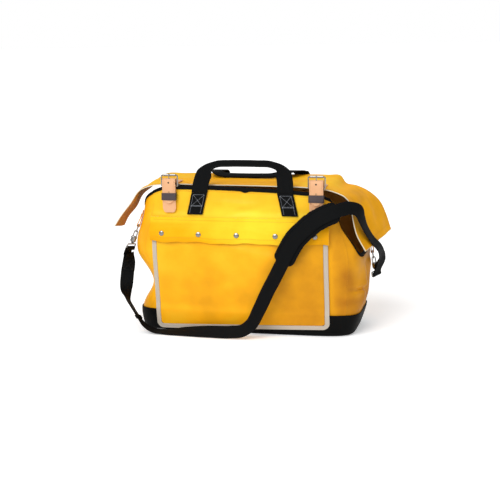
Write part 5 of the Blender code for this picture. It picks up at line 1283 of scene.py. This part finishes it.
# a row of stitches along each edge, and a webbing patch over the upper end
outer = centre - padNormal * (thick[:, None] / 2 + 0.0004)
for number, sense in enumerate((-1, 1)):
    row = outer + padSide * sense * (width[:, None] / 2 - pad["stitchIn"])
    strapPieces.append(stitchRow(f"padStitch{number}", row[3:-3], -padNormal[3:-3], "black", "pad"))
patch = slice(count - pad["patch"][0], count - pad["patch"][1])
rings = carry(outer[patch] - padNormal[patch] * pad["patchThick"], padSide[patch], padNormal[patch],
              webProfile(width[patch] - pad["patchIn"], pad["patchThick"]))
addStrapPiece("padPatch", rings, blackWeb)


# remeshes a padded piece evenly, blows it up a little as cloth with its seam held, and keeps each point
# within a cap of where it was
def puff(piece):
    bpy.context.view_layer.objects.active = piece
    for other in bpy.context.selected_objects:
        other.select_set(False)
    piece.select_set(True)
    remesh = piece.modifiers.new("remesh", "REMESH")
    remesh.mode, remesh.voxel_size = "VOXEL", pad["voxel"]
    bpy.ops.object.modifier_apply(modifier=remesh.name)
    rest = readPoints(piece.data)
    near = ((rest[:, None] - line[None, part][:, ::6]) ** 2).sum(-1).argmin(1) * 6 + first
    aside = np.abs(((rest - line[near]) * strapSide[near]).sum(1))
    held = piece.vertex_groups.new(name="held")
    seamed = (aside > pad["width"] / 2 - pad["stitchIn"]) | (near < first + 6) | (near > last - 8)
    held.add([int(k) for k in np.nonzero(seamed)[0]], 1.0, "REPLACE")
    cloth = piece.modifiers.new("cloth", "CLOTH")
    cloth.settings.use_pressure, cloth.settings.uniform_pressure_force = True, pad["pressure"]
    cloth.settings.effector_weights.gravity = 0.0
    cloth.settings.vertex_group_mass = "held"
    cloth.settings.quality = 6
    for frameNumber in range(1, pad["frames"] + 1):
        scene.frame_set(frameNumber)
    step = readPoints(piece.evaluated_get(bpy.context.evaluated_depsgraph_get()).data) - rest
    size = np.linalg.norm(step, axis=1, keepdims=True)
    moved = rest + step * np.minimum(1.0, pad["limit"] / np.maximum(size, 1e-9))
    piece.modifiers.remove(cloth)
    piece.data.vertices.foreach_set("co", moved.astype(np.float32).ravel())
    piece.data.update()
    scene.frame_set(1)


puff(shoulderPad)
smooth = shoulderPad.modifiers.new("smooth", "SUBSURF")
smooth.levels = smooth.render_levels = 1
shoulderPad.data.polygons.foreach_set("use_smooth", np.ones(len(shoulderPad.data.polygons), bool))
dress(shoulderPad, "bag", "shoulder_pad")
print("shoulder pad")


# a fold of the bag's own cloth: up the end behind the ring's bar, round it and up again in front, sewn
# down
def makeRingTab(side):
    origin, _, _, along, sense, level = chainFrame(side)
    web, length, y, z = chain["web"], chain["tabLength"], sense * chain["ringY"], origin[2]
    radius = chain["ringWire"] + fit + web / 2
    lie, middle = lay + web / 2, lay + web + fit + chain["ringWire"]
    path = [endSpot(sense, y, z + length * (1 - k / 5), lie)[0] for k in range(5)]
    path += [origin - level * radius * math.cos(angle) - skyward * radius * math.sin(angle)
             for angle in np.radians(range(0, 181, 20))]
    for k in range(1, 5):
        stand = middle + radius + (lie + web + fit - middle - radius) * float(ease(k / 4))
        path.append(endSpot(sense, y, z + (length - web) * k / 5, stand)[0])
    line = smoothLine(path, 60)[0]
    rings = sweep(line, np.broadcast_to(along, line.shape), webProfile(chain["tabWidth"], web)[0])[0]
    dress(tubeMesh(f"ringTab{side.title()}", rings, tabYellow), "bag", f"d_ring_tab_{side}")


makeRingTab("left")
makeRingTab("right")
print("ring tabs")
